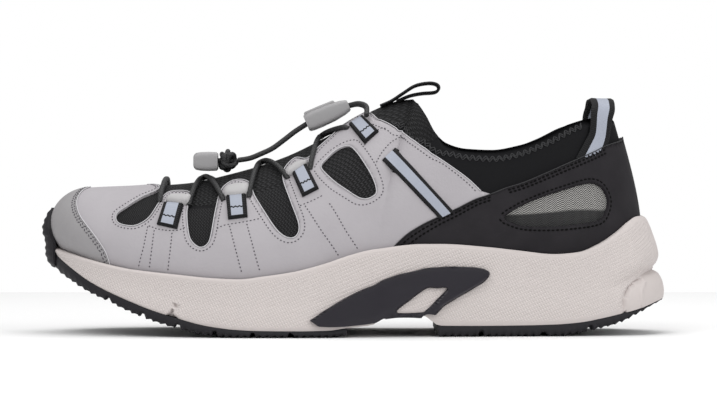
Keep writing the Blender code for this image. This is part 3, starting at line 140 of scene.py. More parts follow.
# The foam's wall: share of its height, inset at the sides, at the heel's back and at the toe
WALL = [
    (0.00, 0.9, 0.3, 1.2), (0.07, 0.5, 0.0, 1.1), (0.18, 0.7, 0.6, 1.0), (0.30, 1.1, 2.9, 0.9),
    (0.37, 1.4, 4.7, 0.8), (0.43, 1.7, 2.9, 0.6), (0.52, 1.9, 1.9, 0.5), (0.62, 2.1, 2.6, 0.4),
    (0.78, 2.2, 4.7, 0.3), (0.92, 2.1, 6.9, 0.3), (1.00, 2.3, 8.9, 0.5),
]

# The sock's stations: foot, its inset, top along, out and up, heading, climb, low reach, high reach, lean
SOCK = [
    (-148.5, 10.5, -136.0, 0.0, 68.2, 0.0, 20.0, 17.0, 12.5, 56.0),
    (-142.5, 10.0, -131.5, 0.0, 69.4, 35.0, 10.0, 18.2, 17.0, 56.0),
    (-133.5, 10.6, -123.5, 0.0, 69.9, 58.0, 4.0, 19.5, 22.5, 56.0),
    (-118.0, 12.0, -109.0, 0.0, 70.5, 76.0, 1.0, 20.0, 26.5, 55.0),
    (-100.0, 12.6, -94.0, 0.0, 71.6, 87.0, 0.0, 20.0, 29.0, 54.0),
    (-84.0, 12.6, -81.0, 0.0, 72.6, 90.0, 0.0, 20.0, 31.0, 53.0),
    (-60.0, 12.2, -57.0, 0.0, 77.8, 90.0, 0.0, 20.0, 31.0, 50.0),
    (-38.0, 12.2, -34.0, 0.0, 85.0, 90.0, 0.0, 21.0, 28.0, 45.0),
    (-20.0, 12.4, -13.0, 0.0, 95.0, 90.0, 0.0, 23.0, 24.0, 40.0),
    (-6.0, 12.6, 8.0, 0.0, 107.2, 90.0, 0.0, 25.0, 21.0, 36.0),
    (4.0, 12.8, 23.5, 0.0, 113.2, 90.0, 0.0, 26.0, 18.0, 34.0),
    (9.0, 12.9, 30.0, 0.0, 113.9, 90.0, 0.0, 26.0, 17.0, 33.0),
    (12.0, 12.9, 30.6, 6.0, 113.6, 90.0, 12.0, 26.0, 17.0, 33.0),
    (16.0, 12.8, 32.4, 13.0, 111.6, 90.0, 30.0, 26.0, 17.0, 32.0),
    (23.0, 12.4, 36.0, 21.5, 105.6, 90.0, 50.0, 25.0, 18.0, 31.0),
    (30.0, 12.0, 40.0, 27.5, 97.6, 90.0, 64.0, 23.0, 19.0, 30.0),
    (38.0, 11.6, 45.0, 30.6, 92.4, 90.0, 72.0, 21.0, 20.0, 30.0),
    (50.0, 11.2, 54.5, 31.6, 89.5, 90.0, 77.0, 19.0, 21.0, 30.0),
    (65.0, 11.0, 67.0, 31.6, 88.9, 90.0, 79.0, 18.0, 21.0, 30.0),
    (80.0, 10.8, 80.0, 31.0, 91.1, 90.0, 80.0, 18.0, 22.0, 30.0),
    (95.0, 10.8, 92.5, 29.4, 95.6, 95.0, 80.0, 18.0, 23.0, 30.0),
    (110.0, 11.2, 104.5, 26.0, 101.4, 105.0, 79.0, 18.0, 24.0, 30.0),
    (125.0, 12.6, 115.0, 20.5, 104.4, 125.0, 77.0, 18.0, 25.0, 30.0),
    (138.0, 14.2, 123.0, 13.0, 105.4, 150.0, 75.0, 18.0, 25.0, 30.0),
    (147.5, 15.4, 127.2, 6.0, 105.4, 168.0, 74.0, 18.0, 25.0, 30.0),
    (152.3, 15.6, 128.4, 0.0, 105.3, 180.0, 74.0, 18.0, 25.0, 30.0),
]
RIDGE_END = 9.0
RIDGE_SHIFT = [(-136.0, 5.6), (-123.0, 5.0), (-108.0, 4.0), (-81.0, 2.0), (-50.0, 0.0), (60.0, 0.0)]

# Outlines seen from the side, in dots of the side view
CAP_EDGE = [
    (88.5, 186.7), (80.5, 193.5), (77.0, 204.0), (80.8, 216.7), (95.0, 235.7), (106.5, 253.0),
    (111.5, 267.0),
]
CAP_TOP = -129.0
VAMP_TOP = [(146.0, 178.5), (152.0, 184.0)]
SLOT_1 = [
    (159.3, 188.0), (142.0, 196.3), (126.7, 205.8), (116.5, 213.5), (117.5, 222.0), (128.2, 225.5),
    (138.4, 224.2), (149.5, 216.5), (158.8, 202.6),
]
STRAP_1 = [(163.5, 195.5), (172.7, 190.8), (189.8, 192.0)]
SLOT_2 = [
    (186.9, 210.2), (188.2, 230.6), (191.4, 240.8), (199.6, 247.2), (207.3, 244.0), (211.0, 234.4),
    (215.5, 210.0),
]
STRAP_2 = [(221.0, 190.0), (230.5, 181.3), (241.2, 179.3), (250.0, 183.0)]
SLOT_3 = [
    (254.5, 195.5), (267.6, 216.6), (278.5, 231.5), (289.3, 237.9), (297.0, 234.8), (298.8, 224.0),
    (291.0, 202.0), (283.5, 181.0),
]
STRAP_3 = [
    (284.0, 169.0), (294.8, 157.7), (307.0, 158.0), (319.0, 146.5), (333.0, 134.0), (347.0, 121.0),
    (361.5, 110.0),
]
QUARTER_TOP = [
    (376.0, 117.5), (391.0, 124.8), (406.3, 135.0), (429.3, 151.6), (448.4, 164.4), (467.6, 178.4),
    (481.0, 191.0),
]
COUNTER_EDGE = [(491.0, 194.0), (471.0, 201.3), (439.0, 216.6), (411.0, 231.3), (380.4, 248.2)]
COUNTER_TOP = [(505.8, 188.0), (543.8, 174.0), (572.0, 161.5), (592.0, 152.7), (611.0, 144.0)]
COUNTER_TOP_UP = 0.0954
SIDE_WINDOW = [
    (320.9, 165.7), (326.7, 158.0), (336.9, 149.1), (348.4, 145.5), (357.0, 152.5), (365.0, 164.0),
    (376.4, 188.6), (372.6, 196.3), (363.7, 198.8), (353.5, 194.4), (338.0, 184.0), (325.5, 173.0),
]
# Where the heel window's painted silvery sheen begins, in dots
SHEEN_LINE = [(505.7, 215.0), (600.0, 210.5)]
HEEL_WINDOW = [
    (504.9, 216.5), (524.6, 204.4), (547.0, 195.4), (569.3, 188.4), (589.7, 183.3), (601.2, 187.1),
    (607.6, 198.6), (606.3, 210.1), (598.6, 220.3), (569.3, 225.4), (531.0, 226.7), (513.2, 222.9),
]
TONGUE_EDGE = [
    (159.0, 196.0), (170.0, 201.5), (200.0, 206.0), (235.0, 203.0), (268.0, 192.0), (300.0, 180.0),
    (322.0, 156.0), (340.0, 138.0), (357.0, 125.0), (376.0, 120.0), (391.0, 124.8), (410.0, 135.0),
    (424.0, 141.5),
]
LACE_LOOPS = [
    [(163.4, 200.4), (156.2, 222.6), (176.4, 227.2), (183.0, 202.0)],
    [(225.2, 191.4), (227.6, 217.6), (247.2, 215.2), (245.2, 190.6)],
    [(290.6, 169.6), (302.0, 195.2), (318.4, 186.8), (305.8, 162.0)],
    [(347.7, 122.3), (364.2, 142.0), (378.3, 129.3), (362.0, 113.5)],
]
HOODS = [
    [
        (165.1, 196.6), (168.8, 192.3), (178.6, 191.4), (189.4, 191.9), (190.5, 194.5), (185.1, 199.9),
        (168.8, 198.8),
    ],
    [
        (222.6, 188.0), (226.3, 183.6), (236.1, 180.8), (246.9, 180.8), (248.4, 183.6), (243.7, 191.2),
        (225.2, 193.0),
    ],
    [(284.2, 168.4), (293.6, 160.4), (304.5, 157.2), (305.9, 159.1), (299.0, 165.2), (288.1, 171.3)],
]
SIDE_STRIPE = [(382.4, 159.0), (439.8, 218.5), (454.0, 211.5), (395.2, 147.0)]
SHANK_TOP = [
    (309.7, 320.5), (327.6, 308.4), (346.7, 297.0), (365.8, 288.0), (385.0, 279.0), (400.0, 274.0),
    (417.4, 270.2), (436.5, 267.2), (462.0, 266.6), (481.2, 268.2), (489.5, 273.0),
]
SHANK_BACK = [(485.0, 281.0), (472.2, 289.3), (455.7, 298.9), (442.9, 307.1), (435.3, 314.8)]
SHANK_FRONT = [(372.0, 327.0), (345.0, 327.6), (318.0, 326.6)]
SHANK_WINDOW = [
    (396.4, 313.5), (411.0, 299.5), (421.2, 291.8), (431.4, 287.8), (447.0, 288.2), (436.5, 299.5),
    (426.3, 309.7), (420.5, 315.4),
]

# The toe bumper's rows: height over the foam's rim, half width in hundredths of a turn, share of its wall
BUMPER_BLEND = (1.0, 8.0)
BUMPER = [
    (-9.0, 6.8, 0.02), (-6.6, 6.8, 0.5), (-4.0, 6.8, 0.8), (0.7, 6.6, 0.95), (1.8, 6.5, 1.1),
    (6.0, 6.0, 1.2), (9.5, 5.5, 1.1), (13.0, 4.8, 0.8), (17.0, 3.9, 0.5), (19.5, 3.0, 0.3),
]

# Stitch lines on the skin, in dots
SEAMS = [
    [(148.0, 225.5), (143.5, 247.0), (138.4, 268.0)],
    [(154.4, 229.3), (151.6, 250.0), (149.3, 269.5)],
    [(172.2, 231.9), (170.0, 252.0), (167.8, 271.5)],
    [(229.3, 224.9), (236.0, 251.0), (242.7, 276.0)],
    [(246.6, 223.0), (253.6, 249.0), (260.6, 273.5)],
    [(304.6, 205.1), (322.0, 231.5), (339.0, 256.5)],
    [(328.8, 202.6), (344.0, 227.5), (358.8, 250.8)],
    [(148.0, 225.5), (160.0, 229.4), (176.0, 230.4), (186.0, 227.0)],
    [(216.0, 229.0), (225.0, 225.0), (243.0, 222.0), (262.0, 218.0)],
    [(299.0, 206.0), (312.0, 200.6), (325.0, 194.0)],
    [(364.0, 146.0), (371.0, 137.0), (380.0, 128.5), (388.0, 129.0)],
    [(376.0, 163.0), (383.0, 151.0), (396.0, 139.0), (406.0, 139.5)],
]
COLLAR_SEAM = [
    (391.0, 123.6), (411.4, 137.6), (429.3, 145.3), (448.4, 152.9), (467.6, 156.7), (486.7, 158.0),
    (505.8, 156.7), (525.0, 151.6), (540.0, 145.3), (560.0, 135.5), (582.0, 124.5),
]

# The lace: where it leaves hoods and loops, in dots, and where it crosses the ridge, in steps along
LACE_LOW = [(159.5, 200.0), (223.0, 199.0), (287.5, 177.0), (347.5, 126.5)]
LACE_HIGH = [(188.5, 203.5), (248.5, 196.0), (309.5, 168.0)]
BAR_AT = -91.0
CROSS_AT = [-72.8, -44.3, -14.5]
LACE_LIFT = 0.0026
RIDGE_LIFT = 0.0019
LOCK_ENDS = ((-22.4, 102.6), (-1.6, 111.6))
LOCK_WIDTH = 0.013
LOCK_THICK = 0.0095
LOCK_TAPER = [
    (0.0, 0.8), (0.03, 0.92), (0.12, 0.98), (0.3, 1.0),
    (0.6, 0.95), (0.85, 0.78), (0.97, 0.62), (1.0, 0.5),
]
RISE = [(-2.6, 3.0, 111.0), (-0.6, 3.2, 111.6), (3.4, 5.6, 112.2), (7.0, 9.6, 110.6)]
RISE_DOT = (366.5, 115.5)
LACE_END = [
    (-22.2, -0.6, 102.4), (-28.0, -1.6, 98.6), (-33.6, -3.6, 94.2), (-39.0, -5.4, 90.2),
    (-44.4, -6.8, 87.6), (-49.8, -7.6, 85.4), (-55.6, -7.6, 84.4),
]
KNOT_AT = (-60.8, -7.6, 84.0)
KNOT_SIZE = 0.0098
TAG_AT = (-71.4, -7.6, 83.8)
TAG_LENGTH = 0.0118
TAG_WIDTH = 0.009
TAG_THICK = 0.0094
TAG_TAPER = [(0.0, 0.55), (0.03, 0.72), (0.1, 0.88), (0.3, 0.97), (0.6, 1.0), (0.94, 0.97), (1.0, 0.84)]

# The pull loops: along and over the ridge at the tongue, along, out and up at the heel
TONGUE_LOOP = [(14.0, 1.2), (19.5, 1.5), (25.0, 3.9)]
TONGUE_LOOP_END = [
    (31.0, 121.0), (37.5, 122.3), (41.6, 121.6), (42.6, 119.6), (40.6, 117.8), (34.0, 117.2),
    (28.2, 116.0), (22.0, 113.4),
]
HEEL_LOOP_DOTS = [(586.5, 165.0), (594.5, 149.0), (599.5, 136.0)]
HEEL_LOOP_END = [
    (120.9, 19.2, 105.2), (122.0, 16.2, 109.4), (122.2, 11.0, 112.4), (122.2, 5.4, 113.8),
    (122.2, 0.0, 114.2),
]
LOOP_WIDTH = 0.0125
TONGUE_LOOP_WIDTH = 0.014

# The tread: its two pieces and the grooves across them, in steps along
TREAD_FRONT = (-147.3, -2.0)
TREAD_HEEL = (41.0, 151.1)
FRONT_GROOVES = [
    (-118.0, -115.0), (-101.0, -98.0), (-84.0, -81.0), (-66.0, -63.0), (-48.0, -45.0), (-30.0, -27.0),
]
HEEL_GROOVES = [(60.0, 63.0), (90.0, 93.0), (112.0, 115.0)]
GROOVE_DEPTH = 0.0018
TOOTH_PITCH = 3.5
TOOTH_DEPTH = 0.0010
TREAD_EDGE = [(-0.2, 1.0, 0.0), (-0.6, 0.7, 0.0), (-0.7, 0.45, 0.3), (-0.4, 0.2, 0.8), (0.5, 0.0, 1.0)]
LUG_PITCH = 8.75
LUG_SLANT = 26
LUG_DEPTH = 0.0011

# The crash pad moulded at the heel and the flex cut in the forefoot, in dots
LOBE = [
    (626.3, 316.0), (625.2, 297.8), (630.7, 286.9), (641.5, 278.2), (655.0, 270.0), (675.0, 266.0),
    (675.0, 330.0),
]
LOBE_RIDGE = [(643.5, 280.5), (641.0, 288.0), (640.0, 296.0), (641.5, 306.0)]
FLEX_CUT = [
    (163.5, 318.0), (170.0, 311.0), (174.5, 302.5), (175.8, 304.5), (173.2, 311.5), (175.5, 318.5),
]

# The flat drawing of one side of the sock
FLAT_ALONG = 400.0
FLAT_UP = 95.0
HEM = 0.12


class Table:
    """Smooth columns over a first column, without overshoot."""

    def __init__(self, rows):
        rows = np.array(rows, float)
        self.x = rows[:, 0]
        self.rows = rows
        self.h = np.diff(self.x)
        self.slopes = np.zeros_like(rows)
        for column in range(1, rows.shape[1]):
            d = np.diff(rows[:, column]) / self.h
            m = self.slopes[:, column]
            m[0] = d[0]
            m[-1] = d[-1]
            for i in range(1, len(m) - 1):
                if d[i - 1] * d[i] > 0:
                    w1 = 2 * self.h[i] + self.h[i - 1]
                    w2 = self.h[i] + 2 * self.h[i - 1]
                    m[i] = (w1 + w2) / (w1 / d[i - 1] + w2 / d[i])

    def __call__(self, column, at):
        at = np.clip(np.asarray(at, float), self.x[0], self.x[-1])
        if column == 0:
            return at
        i = np.clip(np.searchsorted(self.x, at) - 1, 0, len(self.h) - 1)
        s = (at - self.x[i]) / self.h[i]
        s2 = s * s
        s3 = s2 * s
        y = self.rows[:, column]
        m = self.slopes[:, column]
        low = (2 * s3 - 3 * s2 + 1) * y[i] + (s3 - 2 * s2 + s) * self.h[i] * m[i]
        return low + (3 * s2 - 2 * s3) * y[i + 1] + (s3 - s2) * self.h[i] * m[i + 1]


def turn_of(step):
    """The station number, 0 at the toe and 1 at the heel, whose foot is at a step along."""
    share = (step - SOLE_FRONT) / (SOLE_BACK - SOLE_FRONT)
    return math.acos(1 - 2 * min(max(share, 0.0), 1.0)) / math.pi


def step_of(t):
    return SOLE_FRONT + (SOLE_BACK - SOLE_FRONT) * (1 - np.cos(np.pi * np.asarray(t, float))) / 2


def unit(v):
    return v / np.maximum(np.linalg.norm(v, axis=-1, keepdims=True), 1e-12)


plan_table = Table([(math.acos(1 - 2 * share) / math.pi, outer, inner) for share, outer, inner in PLAN])
sock_table = Table([(turn_of(row[0]),) + row[1:] for row in SOCK])
foot_table = Table(SOLE_SIDE)
wall_table = Table(WALL)
shift_table = Table(RIDGE_SHIFT)
RIDGE_TURN = turn_of(RIDGE_END)


def plan(side, t):
    """The sole's outline at station t, seen from above."""
    width = plan_table(1 if side == LATERAL else 2, t)
    return np.stack([step_of(t), side * width], axis=-1) * MM


def plan_out(side, t):
    """The outline's outward direction in plan."""
    t = np.asarray(t, float)
    tangent = unit(plan(side, np.clip(t + 1e-4, 0, 1)) - plan(side, np.clip(t - 1e-4, 0, 1)))
    return np.stack([-side * tangent[:, 1], side * tangent[:, 0]], axis=-1)


def sole_height(column, t):
    return foot_table(column, step_of(t)) * MM


def ground(t):
    return sole_height(1, t)


def rubber_top(t):
    return sole_height(2, t)


def footbed(t):
    return sole_height(3, t)


def rim(t):
    return sole_height(4, t)


def sock(side, t, v):
    """The sock's outer face: station t round the shoe, v from the footbed (0) to ridge or collar (1)."""
    t = np.asarray(t, float)
    v = np.asarray(v, float)[:, None]
    columns = [sock_table(column, t) for column in range(1, 10)]
    inset, along, out, up, heading, climb, low, high, lean = columns
    side_out = plan_out(side, t)
    a = np.column_stack([plan(side, t) - side_out * (inset * MM)[:, None], footbed(t)])
    lean = np.radians(lean)
    low_way = np.column_stack([side_out * np.sin(lean)[:, None], np.cos(lean)])
    d = np.column_stack([along, shift_table(1, along) + side * out, up]) * MM
    heading = np.radians(heading)
    climb = np.radians(climb)
    top_way = np.column_stack(
        [np.cos(heading) * np.cos(climb), -side * np.sin(heading) * np.cos(climb), np.sin(climb)]
    )
    b = a + low_way * (low * MM)[:, None]
    c = d - top_way * (high * MM)[:, None]
    w = 1 - v
    return w**3 * a + 3 * w * w * v * b + 3 * w * v * v * c + v**3 * d


def facing(surface, side, t, v):
    """The outward normal of a surface(side, t, v), by small differences."""
    e = 1e-3
    dt = surface(side, np.clip(t + e, 0, 1), v) - surface(side, np.clip(t - e, 0, 1), v)
    dv = surface(side, t, np.clip(v + e, 0, 1)) - surface(side, t, np.clip(v - e, 0, 1))
    return unit(np.cross(dv, dt) * side)


def seen(points):
    """Where points show in the side view, in its dots."""
    near = VIEW_FAR / (VIEW_FAR + points[:, 1]) / DOT
    across = VIEW_DOT[0] + (points[:, 0] - VIEW_ALONG) * near
    return np.column_stack([across, VIEW_DOT[1] - (points[:, 2] - VIEW_UP) * near])


def raised(depth):
    """The face that lies a depth outside the sock's outer face."""

    def face(side, t, v):
        return sock(side, t, v) + facing(sock, side, t, v) * depth

    return face


def locate(surface, dots, low=(0.0, 0.12), high=(1.0, 1.0)):
    """The (t, v) on the outer side where the side view's dots lie on a surface."""
    grid = np.meshgrid(np.linspace(low[0], high[0], 161), np.linspace(low[1], high[1], 61))
    ts, vs = (a.ravel() for a in grid)
    dots = np.array(dots, float)
    shown = seen(surface(LATERAL, ts, vs))
    nearest = [int(np.argmin(((shown - dot) ** 2).sum(axis=1))) for dot in dots]
    tv = np.column_stack([ts[nearest], vs[nearest]])
    e = 1e-4
    for _ in range(14):
        here = seen(surface(LATERAL, tv[:, 0], tv[:, 1]))
        jt = (seen(surface(LATERAL, tv[:, 0] + e, tv[:, 1])) - here) / e
        jv = (seen(surface(LATERAL, tv[:, 0], tv[:, 1] + e)) - here) / e
        back = np.linalg.pinv(np.stack([jt, jv], axis=-1), rcond=1e-3)
        move = np.einsum("nij,nj->ni", back, dots - here)
        tv = np.clip(tv + np.clip(move, -0.03, 0.03), low, high)
    return tv


def flat(tv):
    return np.asarray(tv, float) * (FLAT_ALONG, FLAT_UP)


def rounded(points, n, closed=False):
    """A smooth line through points, with n steps between each two."""
    points = np.array(points, float)
    if closed:
        padded = np.vstack([points[-1:], points, points[:2]])
    else:
        padded = np.vstack([2 * points[0] - points[1], points, 2 * points[-1] - points[-2]])
    out = []
    for i in range(1, len(padded) - 2):
        p0, p1, p2, p3 = padded[i - 1 : i + 3]
        for k in range(n):
            s = k / n
            bend = (2 * p0 - 5 * p1 + 4 * p2 - p3) * s * s + (3 * p1 - p0 - 3 * p2 + p3) * s**3
            out.append((2 * p1 + (p2 - p0) * s + bend) / 2)
    return np.array(out) if closed else np.vstack([out, points[-1:]])


def run_of(points):
    """How far along a line each of its points is."""
    return np.concatenate([[0.0], np.cumsum(np.linalg.norm(np.diff(points, axis=0), axis=1))])


def resampled(points, step, closed=False):
    """Points evenly spread along a line."""
    points = np.array(points, float)
    if closed:
        points = np.vstack([points, points[:1]])
    length = run_of(points)
    count = max(2, int(round(length[-1] / step)) + 1)
    at = np.linspace(0, length[-1], count)
    out = np.column_stack([np.interp(at, length, points[:, k]) for k in range(points.shape[1])])
    return out[:-1] if closed else out


def within(polygon, points):
    """Which flat points lie inside a polygon."""
    x = points[:, 0]
    y = points[:, 1]
    hit = np.zeros(len(points), bool)
    for (x0, y0), (x1, y1) in zip(polygon, np.roll(polygon, -1, axis=0)):
        if y0 == y1:
            continue
        crosses = (y0 > y) != (y1 > y)
        hit ^= crosses & (x < x0 + (y - y0) * (x1 - x0) / (y1 - y0))
    return hit


def away(points, lines):
    """How far each flat point is from the nearest of some open lines."""
    starts = np.vstack([line[:-1] for line in lines])
    ways = np.vstack([np.diff(line, axis=0) for line in lines])
    squares = np.maximum((ways**2).sum(axis=1), 1e-12)
    out = np.empty(len(points))
    for k in range(0, len(points), 1500):
        part = points[k : k + 1500, None, :] - starts[None]
        share = np.clip((part * ways[None]).sum(axis=2) / squares, 0, 1)
        out[k : k + 1500] = np.sqrt(((part - share[..., None] * ways[None]) ** 2).sum(axis=2).min(axis=1))
    return out


def beside(line, distance):
    """A line's copy at a distance to its left, without the points that come too close to it."""
    line = np.array(line, float)
    way = unit(np.gradient(line, axis=0))
    moved = line + distance * np.column_stack([-way[:, 1], way[:, 0]])
    return moved[away(moved, [line]) > 0.93 * abs(distance)]


def soft_step(x):
    x = np.clip(x, 0, 1)
    return x * x * (3 - 2 * x)


def roll(distance, radius):
    """Share of full height near an edge that is rolled over a radius."""
    return np.sqrt(np.clip(1 - (1 - np.clip(distance / radius, 0, 1)) ** 2, 0, 1))


materials = {}


class Finish:
    """A Principled material and short ways to add nodes to it."""

    def __init__(self, name, colour, roughness, specular=0.5):
        self.material = bpy.data.materials.new(name)
        self.material.use_nodes = True
        self.tree = self.material.node_tree
        self.shader = self.tree.nodes["Principled BSDF"]
        self.shader.inputs["Base Color"].default_value = (*colour, 1)
        self.shader.inputs["Roughness"].default_value = roughness
        self.shader.inputs["Specular IOR Level"].default_value = specular
        self.height = None
        materials[name] = self.material

    def node(self, kind, **inputs):
        node = self.tree.nodes.new(kind)
        for name, value in inputs.items():
            self.feed(node, name.replace("_", " "), value)
        return node

    def feed(self, node, name, value):
        socket = node.inputs[int(name) if name.isdigit() else name]
        if isinstance(value, bpy.types.NodeSocket):
            self.tree.links.new(value, socket)
        else:
            socket.default_value = value

    def maths(self, operation, a, b=0.0):
        node = self.tree.nodes.new("ShaderNodeMath")
        node.operation = operation
        self.feed(node, "0", a)
        self.feed(node, "1", b)
        return node.outputs[0]

    def place(self):
        """Coordinates in metres, on the shoe itself."""
        return self.node("ShaderNodeTexCoord").outputs["Object"]

    def across(self):
        """The piece's own flat coordinates, apart as (u, v)."""
        split = self.node("ShaderNodeSeparateXYZ", Vector=self.node("ShaderNodeTexCoord").outputs["UV"])
        return split.outputs[0], split.outputs[1]

    def noise(self, scale, detail):
        return self.node("ShaderNodeTexNoise", Vector=self.place(), Scale=scale, Detail=detail).outputs[0]

    def cells(self, scale):
        node = self.node("ShaderNodeTexVoronoi", Vector=self.place(), Scale=scale)
        node.feature = "SMOOTH_F1"
        return node.outputs["Distance"]

    def ranged(self, value, low, high, new_low, new_high):
        node = self.node("ShaderNodeMapRange", Value=value)
        names = ("From Min", "From Max", "To Min", "To Max")
        for name, number in zip(names, (low, high, new_low, new_high)):
            node.inputs[name].default_value = number
        return node.outputs[0]

    def tint(self, factor, low, high):
        """Colour between two by a factor."""
        mix = self.tree.nodes.new("ShaderNodeMix")
        mix.data_type = "RGBA"
        self.feed(mix, "0", factor)
        for index, colour in ((6, low), (7, high)):
            mix.inputs[index].default_value = (*colour, 1)
        self.tree.links.new(mix.outputs[2], self.shader.inputs["Base Color"])

    def bump(self, height, depth, strength=1.0):
        """Relief of a real depth in metres, laid over what is there."""
        node = self.node("ShaderNodeBump", Height=height, Distance=depth, Strength=strength)
        if self.height is not None:
            self.tree.links.new(self.height, node.inputs["Normal"])
        self.height = node.outputs[0]
        self.tree.links.new(self.height, self.shader.inputs["Normal"])

    def rough(self, value):
        self.tree.links.new(value, self.shader.inputs["Roughness"])

    def waves(self, coordinate, count):
        """A wave from 0 to 1 that repeats count times in one unit."""
        turns = self.maths("MULTIPLY", coordinate, count * 2 * math.pi)
        return self.ranged(self.maths("SINE", turns), -1, 1, 0, 1)


def make_leather(name, colour, dark):
    """Matt leather with pebble grain and faint blotches."""
    f = Finish(name, colour, 0.58, specular=0.35)
    blotch = f.ranged(f.noise(60, 4), 0.3, 0.7, 0, 1)
    f.tint(blotch, dark, colour)
    f.bump(f.cells(900), 0.00012, 0.55)
    f.bump(f.noise(2600, 2), 0.00005, 0.6)
    f.rough(f.ranged(f.noise(400, 3), 0.3, 0.7, 0.52, 0.66))


def make_nubuck():
    f = Finish("black_leather", (0.016, 0.0145, 0.017), 0.72, specular=0.2)
    f.tint(f.ranged(f.noise(80, 4), 0.3, 0.7, 0, 1), (0.014, 0.0125, 0.015), (0.020, 0.018, 0.021))
    f.bump(f.noise(2400, 3), 0.00008, 0.7)


def make_knit(name, colour, painted_sheen, pitch_u, pitch_v, depth):
    """A knitted mesh: slanted loops in rows, with painted shade between them and a painted sheen on their
    tops.
    """
    f = Finish(name, colour, 0.75, specular=0.2)
    u, v = f.across()
    bend = f.maths("ADD", u, f.maths("MULTIPLY", f.waves(v, 0.5 / pitch_v), pitch_u * 0.55))
    loops = f.waves(bend, 1 / pitch_u)
    rows = f.waves(v, 1 / pitch_v)
    height = f.maths("MULTIPLY", loops, f.ranged(rows, 0, 1, 0.35, 1))
    # Colour follows the loops' height: painted shade in the hollows, painted sheen on the loop tops.
    f.tint(f.ranged(height, 0.15, 0.8, 0, 1), tuple(c * 0.35 for c in colour), painted_sheen)
    f.bump(height, depth, 1.0)


def make_window_knit():
    """The heel window's herringbone mesh, with a painted silvery sheen on its thread tops above the sheen
    line.
    """
    f = Finish("heel_window_mesh", (0.1, 0.1, 0.1), 0.5, specular=0.4)
    u, v = f.across()
    zig = f.maths("ABSOLUTE", f.maths("SUBTRACT", f.maths("FRACT", f.maths("MULTIPLY", u, 0.16)), 0.5))
    height = f.waves(f.maths("ADD", v, f.maths("MULTIPLY", zig, 5.0)), 0.8)
    # Above this line the thread tops get a painted silvery sheen; below it the mesh stays black.
    (u0, v0), (u1, v1) = flat(locate(sock, SHEEN_LINE))
    line = f.ranged(u, u0, u1, v0, v1)
    painted_sheen = f.ranged(f.maths("SUBTRACT", v, line), -0.6, 0.9, 0.05, 1.0)
    factor = f.maths("MULTIPLY", f.ranged(height, 0.3, 0.8, 0, 1), painted_sheen)
    f.tint(factor, (0.010, 0.010, 0.011), (0.50, 0.49, 0.47))
    f.bump(height, 0.0003, 1.0)


def make_foam():
    """Matt moulded foam with fine slanted ribs where the mould has them, their crests painted lighter and
    their valleys darker as painted shading.
    """
    f = Finish("foam", (0.62, 0.565, 0.55), 0.62, specular=0.35)
    u, v = f.across()
    one = f.waves(f.maths("ADD", u, f.maths("MULTIPLY", v, 0.55)), 0.74)
    two = f.waves(f.maths("SUBTRACT", f.maths("MULTIPLY", v, 0.9), f.maths("MULTIPLY", u, 0.35)), 0.64)
    mask = f.node("ShaderNodeAttribute")
    mask.attribute_name = "ribs"
    ribs = f.maths("MULTIPLY", f.maths("MULTIPLY", one, two), mask.outputs["Fac"])
    # Rib crests painted lighter and valleys darker: painted shading of the ribs.
    f.tint(ribs, (0.575, 0.525, 0.51), (0.69, 0.635, 0.615))
    f.bump(ribs, 0.00025, 1.0)
    f.bump(f.noise(1800, 2), 0.00003, 0.5)


def make_webbing(name, stripe_low, stripe_high, ribs=1.0, end=1e6, tack=None):
    """Ribbed black webbing with a pale woven stripe along its middle. u runs across, v along."""
    f = Finish(name, (0.010, 0.010, 0.011), 0.7, specular=0.25)
    u, v = f.across()
    middle = f.maths("MULTIPLY", f.maths("GREATER_THAN", u, stripe_low), f.maths("LESS_THAN", u, stripe_high))
    middle = f.maths("MULTIPLY", middle, f.maths("LESS_THAN", v, end))
    if tack is not None:
        wave = f.maths("MULTIPLY", f.maths("SUBTRACT", f.waves(u, 5.0), 0.5), 0.035)
        far = f.maths("ABSOLUTE", f.maths("SUBTRACT", f.maths("ADD", v, wave), tack))
        middle = f.maths("MULTIPLY", middle, f.maths("GREATER_THAN", far, 0.028))
    f.tint(middle, (0.008, 0.008, 0.009), (0.35, 0.375, 0.44))
    ribs = f.waves(v, ribs)
    f.bump(f.maths("MULTIPLY", ribs, f.ranged(middle, 0, 1, 1.0, 0.12)), 0.00022, 1.0)
    f.bump(f.ranged(f.noise(900, 2), 0.3, 0.7, 0, 1), 0.00004, 0.7)
    f.rough(f.ranged(middle, 0, 1, 0.75, 0.42))


def make_cord_finish():
    """Braided cord: crossing strands round it."""
    f = Finish("lace_cord", (0.014, 0.014, 0.015), 0.55, specular=0.5)
    u, v = f.across()
    one = f.waves(f.maths("ADD", f.maths("MULTIPLY", u, 4.0), v), 1.0)
    two = f.waves(f.maths("SUBTRACT", f.maths("MULTIPLY", u, 4.0), v), 1.0)
    f.bump(f.maths("MAXIMUM", one, two), 0.00018, 0.9)


def make_plain(name, colour, roughness, grain=0.00003, specular=0.4):
    f = Finish(name, colour, roughness, specular=specular)
    f.bump(f.noise(2000, 2), grain, 0.6)


